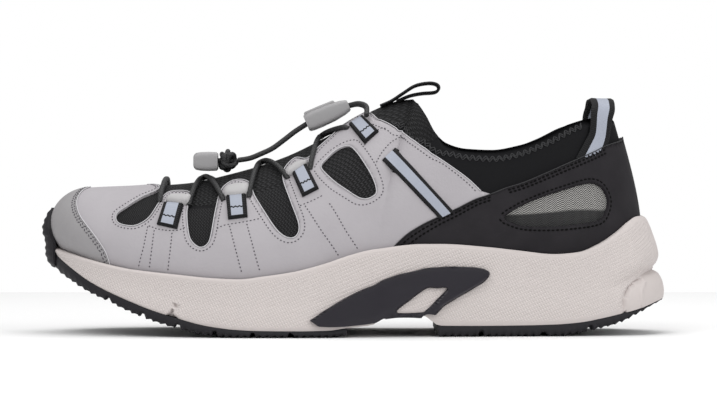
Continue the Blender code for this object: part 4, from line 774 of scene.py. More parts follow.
def make_finishes():
    make_leather("grey_leather", (0.405, 0.385, 0.405), (0.385, 0.365, 0.385))
    make_leather("cap_leather", (0.315, 0.305, 0.312), (0.297, 0.287, 0.295))
    make_nubuck()
    make_knit("tongue_mesh", (0.016, 0.016, 0.017), (0.030, 0.030, 0.032), 2.1, 1.5, 0.0007)
    make_knit("window_mesh", (0.014, 0.014, 0.015), (0.034, 0.034, 0.036), 1.3, 1.0, 0.0004)
    make_window_knit()
    make_foam()
    make_webbing("loop_webbing", 0.2, 0.8, 13.0, 0.93, 0.62)
    make_webbing("stripe_webbing", 0.22, 0.78, 36.0)
    make_webbing("heel_webbing", 0.26, 0.74)
    make_webbing("black_webbing", 2.0, 3.0)
    # Pale colour for the beads along the leather edges: a painted highlight.
    make_plain("painted_edge_highlight", (0.56, 0.55, 0.57), 0.5)
    make_cord_finish()
    make_plain("neoprene", (0.007, 0.007, 0.008), 0.8, 0.00005, 0.15)
    make_plain("lining", (0.012, 0.012, 0.013), 0.9, 0.0001, 0.15)
    make_plain("shank_plastic", (0.018, 0.016, 0.022), 0.36, 0.00002, 0.3)
    make_plain("black_rubber", (0.016, 0.015, 0.018), 0.62, 0.00004, 0.25)
    make_plain("tab_rubber", (0.43, 0.42, 0.425), 0.5)
    make_plain("grey_plastic", (0.31, 0.305, 0.31), 0.42, 0.00002)
    # Grey thread for the collar zigzag, also used as the painted highlight bead on the counter's edge.
    make_plain("thread_and_edge_highlight", (0.022, 0.022, 0.024), 0.6)
    make_plain("insole_cloth", (0.06, 0.06, 0.065), 0.9, 0.0001)
    make_plain("grey_thread", (0.075, 0.07, 0.08), 0.7)
    # Black thread, painted darker than it is to stand for the shade in its stitch holes.
    make_plain("black_thread_and_hole_shade", (0.002, 0.002, 0.002), 0.6, 0.00003, 0.1)


def piece(name, finish, verts, faces, uv=None, nodes=(), ribs=None, sharp=50):
    """One visible piece that rides on the shoe and stands for CAD nodes."""
    mesh = bpy.data.meshes.new(name)
    faces = [tuple(int(i) for i in face) for face in faces]
    mesh.from_pydata((np.asarray(verts, float) + SHIFT).tolist(), [], faces)
    if uv is not None:
        layer = mesh.uv_layers.new(name="UVMap")
        corners = np.empty(len(mesh.loops), np.int32)
        mesh.loops.foreach_get("vertex_index", corners)
        layer.data.foreach_set("uv", np.asarray(uv, np.float32)[corners].ravel())
    if ribs is not None:
        attribute = mesh.attributes.new("ribs", "FLOAT", "POINT")
        attribute.data.foreach_set("value", np.asarray(ribs, np.float32))
    mesh.materials.append(materials[finish])
    mesh.shade_smooth()
    mesh.set_sharp_from_angle(angle=math.radians(sharp))
    obj = bpy.data.objects.new(name, mesh)
    bpy.context.scene.collection.objects.link(obj)
    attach(obj, "root")
    if nodes:
        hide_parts(*nodes)
    return obj


def net(loops, open_lines, step, rims):
    """Triangles of a flat outline (the first loop) with holes, denser beside its open edges."""
    points = []
    edges = []
    for loop in loops:
        start = len(points)
        points.extend(loop.tolist())
        edges.extend((start + i, start + (i + 1) % len(loop)) for i in range(len(loop)))
    near = [np.array(points)]
    for line in open_lines:
        for distance in rims:
            for way in (1, -1):
                near.append(beside(line, way * distance))
    extra = np.vstack(near[1:]) if len(near) > 1 else np.zeros((0, 2))
    low = loops[0].min(axis=0)
    high = loops[0].max(axis=0)
    rows = np.arange(low[1] + step / 2, high[1], step * 0.866)
    grid = []
    for i, y in enumerate(rows):
        xs = np.arange(low[0] + (step / 2 if i % 2 else 0.0), high[0], step)
        grid.append(np.column_stack([xs, np.full(len(xs), y)]))
    grid = np.vstack(grid)
    closed = [np.vstack([loop, loop[:1]]) for loop in loops]
    grid = grid[away(grid, closed) > max(rims or (0,)) + 0.45 * step]
    added = np.vstack([extra, grid])
    inside = within(loops[0], added)
    for hole in loops[1:]:
        inside &= ~within(hole, added)
    added = added[inside]
    clear = away(added, closed)
    added = added[clear > 0.8 * min(rims or (step,))]
    points.extend(added.tolist())
    verts, _, faces, _, _, _ = delaunay_2d_cdt([Vector(p) for p in points], edges, [], 0, 1e-4, False)
    verts = np.array([tuple(v) for v in verts])
    faces = np.array([tuple(f) for f in faces])
    centres = verts[faces].mean(axis=1)
    keep = within(loops[0], centres)
    for hole in loops[1:]:
        keep &= ~within(hole, centres)
    return verts, faces[keep]


def edges_of(faces):
    """The border edges of triangles, in their own direction."""
    pairs = {(int(a), int(b)) for f in faces for a, b in zip(f, np.roll(f, -1))}
    return [(a, b) for a, b in pairs if (b, a) not in pairs]


def level(height):
    """The top of a layer of one height."""

    def top(points, distance):
        return np.full(len(points), height)

    return top


def skin(name, finish, loops, open_lines, top, foot, step, nodes=(), sides=BOTH,
         rims=(0.25, 0.6, 1.1)):
    """A layer over the sock: top(flat points, distance to its edges) is its height, foot its rim's end."""
    loops = [resampled(loop, min(step, 1.0), closed=True) for loop in loops]
    flat_points, faces = net(loops, open_lines, step, rims)
    distance = away(flat_points, open_lines) if open_lines else np.full(len(flat_points), NO_EDGE)
    t = (flat_points[:, 0] / FLAT_ALONG).clip(0, 1)
    v = (flat_points[:, 1] / FLAT_UP).clip(0, 1)
    shared = (t < 1e-5) | (t > 1 - 1e-5) | ((v > 1 - 1e-5) & (t < RIDGE_TURN + 1e-4))
    height = top(flat_points, distance)
    normals = {side: facing(sock, side, t, v) for side in BOTH}
    middle = unit(normals[LATERAL] + normals[MEDIAL])
    border = [(a, b) for a, b in edges_of(faces) if not (shared[a] and shared[b])]
    used = sorted({i for edge in border for i in edge})
    verts = []
    triangles = []
    for side in sides:
        start = sum(len(part) for part in verts)
        normal = np.where(shared[:, None], middle, normals[side]) if len(sides) == 2 else normals[side]
        base = sock(side, t, v)
        verts.append(base + normal * height[:, None])
        turned = faces if side == LATERAL else faces[:, ::-1]
        triangles += (turned + start).tolist()
        below = {i: start + len(flat_points) + k for k, i in enumerate(used)}
        verts.append(base[used] + normal[used] * foot)
        for a, b in border:
            quad = [start + b, start + a, below[a], below[b]]
            triangles.append(quad if side == LATERAL else quad[::-1])
    uv = np.vstack([flat_points, flat_points[used]] * len(sides))
    piece(name, finish, np.vstack(verts), triangles, uv, nodes)


def skin_lines():
    """The skin's outlines as smooth lines of the flat drawing."""
    on_skin = raised(GAP + SKIN)
    cap = locate(on_skin, CAP_EDGE)
    cap[0] = (ridge_turn(CAP_TOP), 1.0)
    cap[-1, 1] = HEM
    vamp = locate(on_skin, VAMP_TOP)
    vamp[0, 1] = 1.0
    straps = locate(on_skin, SLOT_1 + STRAP_1 + SLOT_2 + STRAP_2 + SLOT_3 + STRAP_3)
    throat = np.vstack([vamp, straps, locate(on_skin, rounded(QUARTER_TOP, 3))])
    counter = locate(on_skin, COUNTER_EDGE)
    counter[-1, 1] = HEM
    heights = np.linspace(0, 1, 400)
    top_v = float(np.interp(COUNTER_TOP_UP, sock(LATERAL, np.ones(400), heights)[:, 2], heights))
    back = np.vstack([locate(on_skin, COUNTER_TOP), [(1.0, top_v)]])
    tongue = locate(sock, TONGUE_EDGE)
    tongue = np.vstack([[(tongue[0, 0] - 0.004, 1.0)], tongue, [(turn_of(33.0), 1.0)]])
    lines = {
        "cap": cap,
        "throat": throat,
        "counter": counter,
        "back": back,
        "tongue": tongue,
    }
    lines = {name: rounded(flat(tv), 5) for name, tv in lines.items()}
    for name, dots in (("side_window", SIDE_WINDOW), ("heel_window", HEEL_WINDOW)):
        lines[name] = rounded(flat(locate(on_skin, dots)), 5, closed=True)
    for line in lines.values():
        line[:, 0] = line[:, 0].clip(0, FLAT_ALONG)
        line[:, 1] = line[:, 1].clip(0, FLAT_UP)
    return lines


def laid(surface, side, line):
    """A line of the flat drawing, on a surface."""
    return surface(side, line[:, 0] / FLAT_ALONG, line[:, 1] / FLAT_UP)


def rows_inside(outline, line, distances):
    """A line's copies at distances to both its sides, those that lie inside an outline."""
    rows = [beside(line, way * distance) for way in (1, -1) for distance in distances]
    return [row for row in rows if within(outline, row).mean() > INSIDE_SHARE]


def closed_line(loop):
    return np.vstack([loop, loop[:1]])


def make_skins(lines):
    """Quarter, toe cap and heel counter, each with rolled edges."""
    hem = HEM * FLAT_UP
    window = lines["side_window"]
    heel_window = lines["heel_window"]

    def layer(thick, raise_by=0.0, band=4.0):
        def top(points, distance):
            lift = raise_by * (1 - soft_step(distance / band))
            return GAP + thick * (0.35 + 0.65 * roll(distance, EDGE_ROLL)) + lift

        return top

    quarter = np.vstack([lines["cap"][::-1], lines["throat"], lines["counter"]])
    skin("quarter", "grey_leather", [quarter, window], [lines["throat"], closed_line(window)],
         layer(SKIN), -0.0002, 2.0, ["quarter"])
    cap = np.vstack([[(0.0, FLAT_UP), (0.0, hem)], lines["cap"][::-1]])
    skin("toe_cap", "cap_leather", [cap], [lines["cap"]], layer(CAP_SKIN, 0.0004, 1.6), -0.0002, 2.0,
         ["toe_cap"])
    counter_line = lines["counter"][::-1]
    back = lines["back"]
    counter = np.vstack([counter_line, back, [(FLAT_ALONG, hem)]])
    edge = np.vstack([counter_line, back])
    skin("heel_counter", "black_leather", [counter, heel_window], [edge, closed_line(heel_window)],
         layer(COUNTER_SKIN, 0.0003, 2.2), -0.0002, 2.2, ["heel_counter"])


def wall_thickness(t):
    """The sock's wall at its top edge, thin on the tongue and padded round the collar."""
    return TONGUE_WALL + (COLLAR_WALL - TONGUE_WALL) * soft_step((t - RIDGE_TURN) / 0.07)


def collar_fold(points, thick):
    """How far both faces turn towards the wall's middle beside the free top edge."""
    t = points[:, 0] / FLAT_ALONG
    below = FLAT_UP - points[:, 1]
    free = soft_step((t - RIDGE_TURN) / 0.012)
    half = thick / 2
    return free * half * (1 - roll(below * MM, half))


def make_sock(lines):
    """The sock with its padded collar and lining, and the tongue with its lining."""
    tongue_line = lines["tongue"]
    foot = [(0.0, 0.0), (FLAT_ALONG, 0.0), (FLAT_ALONG, FLAT_UP)]
    around = np.vstack([foot, tongue_line[::-1], [(0.0, FLAT_UP)]])
    top_edge = np.array([(RIDGE_TURN * FLAT_ALONG, FLAT_UP), (FLAT_ALONG, FLAT_UP)])

    def outside(points, distance):
        t = points[:, 0] / FLAT_ALONG
        return -collar_fold(points, wall_thickness(t))

    def inside(points, distance):
        t = points[:, 0] / FLAT_ALONG
        high = soft_step((points[:, 1] / FLAT_UP - 0.62) / 0.26)
        thick = SOCK_WALL + (wall_thickness(t) - SOCK_WALL) * high
        return -thick + collar_fold(points, wall_thickness(t))

    rims = (0.15, 0.5, 1.1, 1.8, 2.6)
    skin("upper", "neoprene", [around], [top_edge], outside, 0.0, 2.4, ["upper"], rims=rims)
    skin("lining", "lining", [around], [top_edge], inside, -0.0018, 3.5, rims=rims)
    tongue_loop = np.vstack([tongue_line, [(RIDGE_TURN * FLAT_ALONG, FLAT_UP)]])
    free = np.array([(RIDGE_TURN * FLAT_ALONG, FLAT_UP), tongue_line[-1]])

    def tongue_out(points, distance):
        sewn = soft_step(away(points, [tongue_line]) / 3.0)
        return 0.0001 + 0.0005 * sewn - collar_fold(points, TONGUE_WALL)

    def tongue_in(points, distance):
        return -TONGUE_WALL + collar_fold(points, TONGUE_WALL)

    skin("tongue", "tongue_mesh", [tongue_loop], [free], tongue_out, -0.0005, 1.4, ["tongue"],
         rims=rims)
    skin("tongue_lining", "lining", [tongue_loop], [free], tongue_in, -0.0018, 3.0,
         rims=rims)


def make_windows(lines):
    """The mesh that shows through the side and heel windows, just over the sock."""
    for name, finish in (("side_window", "window_mesh"), ("heel_window", "heel_window_mesh")):
        line = lines[name]
        grown = beside(closed_line(line), -WINDOW_UNDERLAP)
        if not within(grown, line[:1]).any():
            grown = beside(closed_line(line), WINDOW_UNDERLAP)
        skin(name, finish, [grown], [], level(WINDOW_LIFT), -0.0002, 2.0, rims=())


def make_slots():
    """The finer mesh of the sock where it shows below the tongue, in the notches between the straps."""
    surface = raised(GAP + SKIN)
    for k, dots in enumerate((SLOT_1, SLOT_2, SLOT_3)):
        line = rounded(flat(locate(surface, dots)), 5)
        middle = line.mean(axis=0)
        loop = middle + (line - middle) * SLOT_SPREAD
        skin(f"slot_mesh_{k + 1}", "window_mesh", [loop], [], level(SLOT_LIFT), -0.0002, 2.0,
             rims=())


def grid_faces(rows, columns, closed=False):
    """Quads of a grid of points, rows by columns."""
    faces = []
    for i in range(rows - 1):
        for j in range(columns if closed else columns - 1):
            k = i * columns + j
            beyond = i * columns + (j + 1) % columns
            faces.append((k, beyond, beyond + columns, k + columns))
    return faces


def tube_faces(rows, columns):
    """Quads of a tube of rings, with a cap at each end."""
    first = tuple(range(columns))[::-1]
    last = tuple((rows - 1) * columns + k for k in range(columns))
    return grid_faces(rows, columns, closed=True) + [first, last]


def border_of(rows, columns):
    """The points round a grid's border, in order."""
    ring = list(range(columns))
    ring += [i * columns + columns - 1 for i in range(1, rows)]
    ring += [(rows - 1) * columns + j for j in range(columns - 2, -1, -1)]
    return ring + [i * columns for i in range(rows - 2, 0, -1)]


def patch(name, finish, corners, base, thick, nodes, side, ridge=0.0, counts=(15, 25), evened=0):
    """A sewn strap between four corners on the skin: two along its top, two along its foot."""
    a, b, c, d = np.array(corners, float)
    across = np.linspace(0, 1, counts[0])
    along = np.linspace(0, 1, counts[1])
    u, w = (m.ravel() for m in np.meshgrid(across, along))
    dots = np.outer((1 - u) * (1 - w), a) + np.outer((1 - u) * w, b)
    dots = dots + np.outer(u * w, c) + np.outer(u * (1 - w), d)
    t, v = locate(raised(base + thick), dots).T
    width = np.linalg.norm(d - a) * DOT / MM
    length = np.linalg.norm(b - a) * DOT / MM
    edge = np.minimum(np.minimum(u, 1 - u) * width, np.minimum(w, 1 - w) * length)
    height = base + thick * (0.4 + 0.6 * roll(edge, 0.5)) + ridge * soft_step((edge - width * 0.16) / 0.4)
    normal = facing(sock, side, t, v)
    verts = sock(side, t, v) + normal * height[:, None]
    rows = verts.reshape(counts[1], counts[0], 3)
    for _ in range(evened):
        rows[1:-1] = (rows[:-2] + 2 * rows[1:-1] + rows[2:]) / 4
    faces = grid_faces(counts[1], counts[0])
    ring = border_of(counts[1], counts[0])
    low = sock(side, t[ring], v[ring]) + normal[ring] * (base - 2 * GAP)
    n = len(verts)
    faces += [(ring[(k + 1) % len(ring)], ring[k], n + k, n + (k + 1) % len(ring)) for k in range(len(ring))]
    if side == LATERAL:
        faces = [f[::-1] for f in faces]
    uv = np.column_stack([u, w])
    piece(name, finish, np.vstack([verts, low]), faces, np.vstack([uv, uv[ring]]), nodes)


def make_straps():
    """Lace loops and hoods on both sides, and the long side stripes."""
    base = 2 * GAP + SKIN
    for word, side in (("outer", LATERAL), ("inner", MEDIAL)):
        for i, dots in enumerate(LACE_LOOPS):
            name = f"lace_loop_{word}_{i + 1}"
            patch(name, "loop_webbing", dots, base, WEBBING, [name], side, 0.0002)
        for i, dots in enumerate(HOODS):
            loop = rounded(flat(locate(raised(base + TAB_HEIGHT), dots)), 4, closed=True)

            def dome(points, distance):
                return base + TAB_HEIGHT * (0.25 + 0.75 * roll(distance, 2.6))

            edge = [closed_line(loop)]
            skin(f"lace_hood_{word}_{i + 1}", "tab_rubber", [loop], edge, dome, base - 0.0004, 1.0,
                 [f"lace_tab_{word}_{i + 1}"], (side,), (0.2, 0.5, 1.0, 1.7, 2.5))
        name = f"side_stripe_{word}"
        patch(name, "stripe_webbing", SIDE_STRIPE, base, STRIPE_WEBBING, [name], side,
              0.0002, (17, 61), 120)


def swept(points, radius, sides=14):
    """Vertices, faces and flat coordinates of a round cord along points, with closed ends."""
    points = np.array(points, float)
    ways = unit(np.gradient(points, axis=0))
    guide = np.array([0.0, 0.0, 1.0])
    verts = []
    uv = []
    run = run_of(points)
    for point, way, length in zip(points, ways, run):
        over = unit(np.cross(way, guide))
        guide = np.cross(over, way)
        for k in range(sides):
            a = 2 * math.pi * k / sides
            verts.append(point + radius * (math.cos(a) * over + math.sin(a) * guide))
            uv.append((abs(2 * k / sides - 1), length / 0.0022))
    return verts, tube_faces(len(points), sides), uv


def cords(name, lines, nodes, radius=CORD / 2, finish="lace_cord"):
    """Several cords or beads in one piece."""
    verts = []
    faces = []
    uv = []
    for line in lines:
        v, f, c = swept(resampled(line, 0.0008), radius, 14 if radius > EDGE_BEAD else 6)
        faces += [tuple(i + len(verts) for i in face) for face in f]
        verts += v
        uv += c
    return piece(name, finish, verts, faces, uv, nodes)


def ridge_turn(step):
    """The station whose top is on the ridge at a step along."""
    t = np.linspace(0, RIDGE_TURN, 300)
    return float(np.interp(step * MM, sock(LATERAL, t, np.ones(300))[:, 0], t))


def ridge_up(step):
    t = np.linspace(0, RIDGE_TURN, 300)
    ridge = sock(LATERAL, t, np.ones(300))
    return float(np.interp(step * MM, ridge[:, 0], ridge[:, 2]))


def over_skin(start, side, cross_t, end, far, arch=0.0, n=14):
    """Points of a strand from one side, over the ridge at cross_t, to a place on a side."""
    points = []
    for place, which, order in ((start, side, range(n)), (end, far, range(n, -1, -1))):
        for i in order:
            f = i / n
            t = np.array([place[0] + (cross_t - place[0]) * f])
            v = np.array([place[1] + (1 - place[1]) * f])
            sink = 0.0012 * max(0.0, 1 - f / 0.12)
            rise = LACE_LIFT + (RIDGE_LIFT - LACE_LIFT) * f**5 - sink + arch * math.sin(math.pi * f / 2) ** 2
            normal = facing(sock, which, t, v)[0]
            if f == 1:
                normal = unit(normal * np.array([1.0, 0.0, 1.0]))
            points.append(sock(which, t, v)[0] + normal * rise)
    return rounded(points, 2)


def place(step):
    return np.array(step, float) * MM


def make_free_cords():
    """The two loose ends of the lace from the lock to the knot, the knot and the clip."""
    for word, side in (("outer", LATERAL), ("inner", MEDIAL)):
        offset = np.array([0.0, side * (CORD / 2 + 0.0001), 0.0])
        path = rounded([place(p) + offset for p in LACE_END], 8)
        obj = cords(f"lace_end_{word}", [path], [f"lace_end_{word}"])
    turns = np.linspace(0, 2 * math.pi, 120)
    windings = []
    for tilt in (0.0, 0.75, 1.5, 2.25):
        ring = np.column_stack([
            0.55 * np.sin(2 * turns + tilt),
            np.cos(turns + tilt) * (1 + 0.18 * np.cos(3 * turns)),
            np.sin(turns + tilt) * (1 + 0.18 * np.cos(3 * turns)),
        ])
        lean = tilt - 1.1
        along = ring[:, 0] * math.cos(lean) - ring[:, 2] * math.sin(lean)
        up = ring[:, 0] * math.sin(lean) + ring[:, 2] * math.cos(lean)
        turn = np.column_stack([along, ring[:, 1], up]) * (KNOT_SIZE / 2 - CORD / 2)
        windings.append(place(KNOT_AT) + turn)
    stem = rounded([place((-56.5, -7.6, 84.4)), place(KNOT_AT), place((-66.5, -7.6, 84.3))], 10)
    knot = cords("lace_knot", windings + [stem], ["lace_knot"], CORD / 2)
    ends_of_tag = [place(TAG_AT) + (way * TAG_LENGTH / 2, 0.0, 0.0) for way in (-1, 1)]
    tag = moulded("lace_tag", "grey_plastic", ends_of_tag[0], ends_of_tag[1], TAG_WIDTH, TAG_THICK, TAG_TAPER,
                  ["lace_tag"])


def moulded(name, finish, a, b, width, thick, taper, nodes=(), power=4.0, slot="grey_plastic"):
    """A moulded plastic piece with soft corners along a line between two ends."""
    a = np.array(a, float)
    b = np.array(b, float)
    way = unit(b - a)
    over = np.cross(way, (0.0, 1.0, 0.0))
    over = over if over[2] > 0 else -over
    sides = 40
    verts = []
    for share, size in taper:
        centre = a + (b - a) * share
        for k in range(sides):
            angle = 2 * math.pi * k / sides
            c = math.cos(angle)
            s = math.sin(angle)
            y = math.copysign(abs(c) ** (2 / power), c) * width / 2 * (0.8 + 0.2 * size)
            z = math.copysign(abs(s) ** (2 / power), s) * thick / 2 * size
            verts.append(centre + np.array([0.0, y, 0.0]) + over * z)
    faces = grid_faces(len(taper), sides, closed=True)
    faces.append(tuple(range(sides)))
    faces.append(tuple((len(taper) - 1) * sides + k for k in range(sides))[::-1])
    faces = [f[::-1] for f in faces]
    return piece(name, finish, verts, faces, None, nodes)


def make_lace():
    """The lace where it lies on the shoe, with its lock."""
    face = raised(LACE_LIFT)
    low = locate(face, LACE_LOW)
    high = locate(face, LACE_HIGH)
    lines = [over_skin(low[0], LATERAL, ridge_turn(BAR_AT), low[0], MEDIAL, 0.0016)]
    for i, step in enumerate(CROSS_AT):
        middle = ridge_turn(step)
        lines.append(over_skin(high[i], LATERAL, middle, low[i + 1], MEDIAL))
        lines.append(over_skin(low[i + 1], LATERAL, middle, high[i], MEDIAL, 0.0004))
    over_loops = raised(4 * GAP + SKIN + WEBBING + CORD / 2)
    top = locate(over_loops, [RISE_DOT])[0]
    for side in BOTH:
        seat = over_loops(side, top[:1], top[1:])[0]
        lines.append(rounded([place((x, side * y, z)) for x, y, z in RISE] + [seat], 8))
    nodes = ["lace_bar", "lace_cross_1", "lace_cross_2", "lace_cross_3", "lace_rise_outer", "lace_rise_inner"]
    cords("lace", lines, nodes)
    a, b = (np.array([end[0], 0.0, end[1]]) * MM for end in LOCK_ENDS)
    moulded("cord_lock", "grey_plastic", a, b, LOCK_WIDTH, LOCK_THICK, LOCK_TAPER, ["cord_lock"])
    way = unit(b - a)
    up = np.array([-way[2], 0.0, way[0]])
    slab = (a + way * 0.0008 + up * 0.0044, a + way * 0.0168 + up * 0.0042)
    button = [(0.0, 0.6), (0.05, 0.9), (0.5, 1.0), (0.95, 0.9), (1.0, 0.5)]
    moulded("lock_button", "grey_plastic", *slab, 0.0095, 0.0024, button)


def strap(name, finish, points, across, width, thick, nodes):
    """A flat strap along points, across given directions, with soft edges."""
    points = np.array(points, float)
    across = unit(np.array(across, float))
    ways = unit(np.gradient(points, axis=0))
    above = unit(np.cross(across, ways))
    run = run_of(points)
    columns = 11
    shares = np.linspace(-1, 1, columns)
    section = [(u, thick / 2 * float(roll((1 - abs(u)) * width / 2, thick / 2))) for u in shares]
    section += [(u, -h) for u, h in section[-2:0:-1]]
    verts = []
    uv = []
    for p, a, n, length in zip(points, across, above, run):
        for u, h in section:
            verts.append(p + a * u * width / 2 + n * h)
            uv.append(((u + 1) / 2, length / 0.0011))
    piece(name, finish, verts, tube_faces(len(points), len(section)), uv, nodes, sharp=80)


def make_pull_loops():
    """The folded webbing at the tongue's top and the arch over the heel."""
    line = [np.array([x * MM, 0.0, ridge_up(x) + over * MM]) for x, over in TONGUE_LOOP]
    line += [place((x, 0.0, z)) for x, z in TONGUE_LOOP_END]
    line = rounded(line, 8)
    strap("tongue_loop", "black_webbing", line, [(0, -1, 0)] * len(line), TONGUE_LOOP_WIDTH, 0.0014,
          ["tongue_loop"])
    face = raised(GAP + WEBBING / 2)
    seats = locate(face, HEEL_LOOP_DOTS)
    halves = []
    for side in BOTH:
        points = [face(side, seat[:1], seat[1:])[0] for seat in seats]
        points += [place((x, side * y, z)) for x, y, z in HEEL_LOOP_END]
        points = np.array(points)
        ways = unit(np.gradient(points, axis=0))
        normals = [facing(sock, side, seat[:1], seat[1:])[0] for seat in seats]
        across = [unit(np.cross(normal, ways[k])) * side for k, normal in enumerate(normals)]
        for k in range(len(HEEL_LOOP_END)):
            share = (k + 1) / len(HEEL_LOOP_END)
            across.append(unit((1 - share) * across[len(seats) - 1] + share * np.array([1.0, 0.0, 0.0])))
        halves.append((points, np.array(across)))
    line = np.vstack([halves[0][0], halves[1][0][-2::-1]])
    across = np.vstack([halves[0][1], halves[1][1][-2::-1]])
    strap("heel_loop", "heel_webbing", rounded(line, 6), rounded(across, 6), LOOP_WIDTH, WEBBING,
          ["heel_loop"])


def wall_point(side, t, share):
    """The foam's outer wall at a share of its height."""
    step = step_of(t)
    heel = soft_step((step - 116.0) / 34.0)
    toe = soft_step((-100.0 - step) / 44.0)
    at_side, at_heel, at_toe = (wall_table(column, share) for column in (1, 2, 3))
    inset = (at_side * (1 - heel) * (1 - toe) + at_heel * heel + at_toe * toe) * MM
    flat_point = plan(side, t) - plan_out(side, t) * inset[:, None]
    low = rubber_top(t)
    return np.column_stack([flat_point, low + (rim(t) - low) * share])


def sock_lines(side, t, v, lift):
    """Lines up the sock at a height over it: stations by shares by (x, y, z)."""
    ts = np.repeat(t, len(v))
    vs = np.tile(v, len(t))
    return (sock(side, ts, vs) + facing(sock, side, ts, vs) * lift).reshape(len(t), len(v), 3)


def at_height(lines, heights):
    """Where each line up the sock reaches its height."""
    places = []
    for line, height in zip(lines, heights):
        places.append([np.interp(height, line[:, 2], line[:, k]) for k in range(3)])
    return np.array(places)


def cup_points(side, t, shares):
    """Rings of the bowl's inner wall, from the rim (0) down to the footbed's edge (1)."""
    v = np.linspace(0, 1, 121)
    lines = sock_lines(side, t, v, 2 * GAP + COUNTER_SKIN)
    tops = [np.interp(h, line[:, 2], v) for line, h in zip(lines, rim(t))]
    rings = []
    for share in shares:
        ring = []
        for line, top in zip(lines, tops):
            ring.append([np.interp(top * (1 - share), v, line[:, k]) for k in range(3)])
        rings.append(np.array(ring))
    return rings


def moulding(side, points):
    """How far the foam's wall stands out for the crash pad and in for the flex cut, and where it has ribs."""
    shown = seen(points * (1, -side, 1) if side == MEDIAL else points)
    lobe = np.array(LOBE)
    edge = rounded(LOBE[:6], 6)
    far = away(shown, [edge])
    inside = within(lobe, shown)
    out = np.where(inside, 0.0008 * soft_step((far - 0.2) / 4.0), -0.0016 * (1 - soft_step(far / 3.0)))
    ridge = away(shown, [rounded(LOBE_RIDGE, 6)])
    out = out + np.where(inside, 0.0009 * (1 - soft_step(ridge / 2.4)), 0.0)
    cut = np.array(FLEX_CUT)
    in_cut = within(cut, shown)
    out = np.where(in_cut, -0.0022 * soft_step(away(shown, [closed_line(cut)]) / 0.9), out)
    ribs = np.where(inside | in_cut, 0.0, soft_step((far - 1.0) / 2.0))
    return out, ribs


def loop_of(outer, inner):
    return np.vstack([outer, inner[-2:0:-1]])


def make_midsole():
    """The foam bowl: moulded wall, rounded rim, cup and underside."""
    flex = np.array([turn_of(step) for step in np.arange(-96.0, -85.0, 0.35)])
    t = np.concatenate([np.linspace(0, 1, 190), np.linspace(0.83, 1, 60), np.linspace(0, 0.1, 40), flex])
    t = np.unique(t.round(5))
    rings = []
    ribs = []
    uv = []
    shares = np.concatenate([np.linspace(0, 1, 46), [1.0]])
    run = run_of(plan(LATERAL, t)) / MM
    for k, share in enumerate(shares):
        halves = []
        masks = []
        for side in BOTH:
            wall = wall_point(side, t, np.full(len(t), share))
            out, mask = moulding(side, wall)
            way = plan_out(side, t)
            top = rim(t) - wall[:, 2]
            fold = RIM_ROLL * (1 - roll(top, RIM_ROLL))
            wall[:, :2] += way * (out - fold)[:, None]
            halves.append(wall)
            masks.append(mask * soft_step((top / MM - 1.5) / 1.5) * soft_step((share - 0.04) / 0.05))
        rings.append(loop_of(*halves))
        ribs.append(loop_of(masks[0][:, None], masks[1][:, None])[:, 0])
        high = rings[-1][:, 2] / MM
        uv.append(np.column_stack([loop_of(run[:, None], run[:, None])[:, 0], high]))
    cup_shares = (0.0, 0.05, 0.3, 0.6, 1.0)
    for cup in zip(*(cup_points(side, t, cup_shares) for side in BOTH)):
        rings.append(loop_of(*cup))
        ribs.append(np.zeros(len(rings[-1])))
        uv.append(uv[0])
    n = len(rings[0])
    faces = grid_faces(len(rings), n, closed=True)
    verts = list(rings)
    under_in = [underside(t, share) for share in (0.75, 0.5, 0.25, 0.03)]
    start = len(rings) * n
    previous = 0
    for ring in under_in:
        verts.append(ring)
        ribs.append(np.zeros(n))
        uv.append(uv[0])
        faces += [(start + j, start + (j + 1) % n, previous + (j + 1) % n, previous + j) for j in range(n)]
        previous = start
        start += n
    piece("midsole", "foam", np.vstack(verts), [f[::-1] for f in faces], np.vstack(uv), ["midsole"],
          ribs=np.concatenate(ribs), sharp=60)


def underside(t, share):
    """A ring on the foam's underside, shrunk across towards the middle line."""
    halves = []
    centre = (wall_point(LATERAL, t, np.zeros(len(t))) + wall_point(MEDIAL, t, np.zeros(len(t)))) / 2
    for side in BOTH:
        edge = wall_point(side, t, np.zeros(len(t)))
        halves.append(centre + (edge - centre) * share)
    return loop_of(*halves)


def make_insole():
    """The removable footbed, inside the sock."""
    t = np.linspace(0, 1, 100)
    v = np.linspace(0, 0.6, 61)
    rings = []
    lines = {side: sock_lines(side, t, v, -(SOCK_WALL + 4 * GAP)) for side in BOTH}
    for lift, inset in ((0.2, 0.0), (3.6, 0.0), (4.6, 0.5), (5.0, 1.6)):
        halves = []
        for side in BOTH:
            half = at_height(lines[side], footbed(t) + lift * MM)
            half[:, 2] = footbed(t) + lift * MM
            half[:, :2] -= plan_out(side, t) * inset * MM
            halves.append(half)
        rings.append(loop_of(*halves))
    n = len(rings[0])
    top = rings[-1]
    centre = (top[:100] + np.vstack([top[:1], top[100:][::-1], top[99:100]])) / 2
    middle = loop_of(centre, centre)
    for share in (0.7, 0.4, 0.05):
        rings.append(middle + (top - middle) * share)
    faces = [f[::-1] for f in grid_faces(len(rings), n, closed=True)]
    piece("insole", "insole_cloth", np.vstack(rings), faces, None, ["insole"], sharp=70)


def tooth(step, side_share):
    """The saw-tooth cut of the tread's side edge."""
    phase = (step / TOOTH_PITCH) % 1.0
    return TOOTH_DEPTH * np.where(phase < 0.75, phase / 0.75, (1 - phase) / 0.25) * side_share


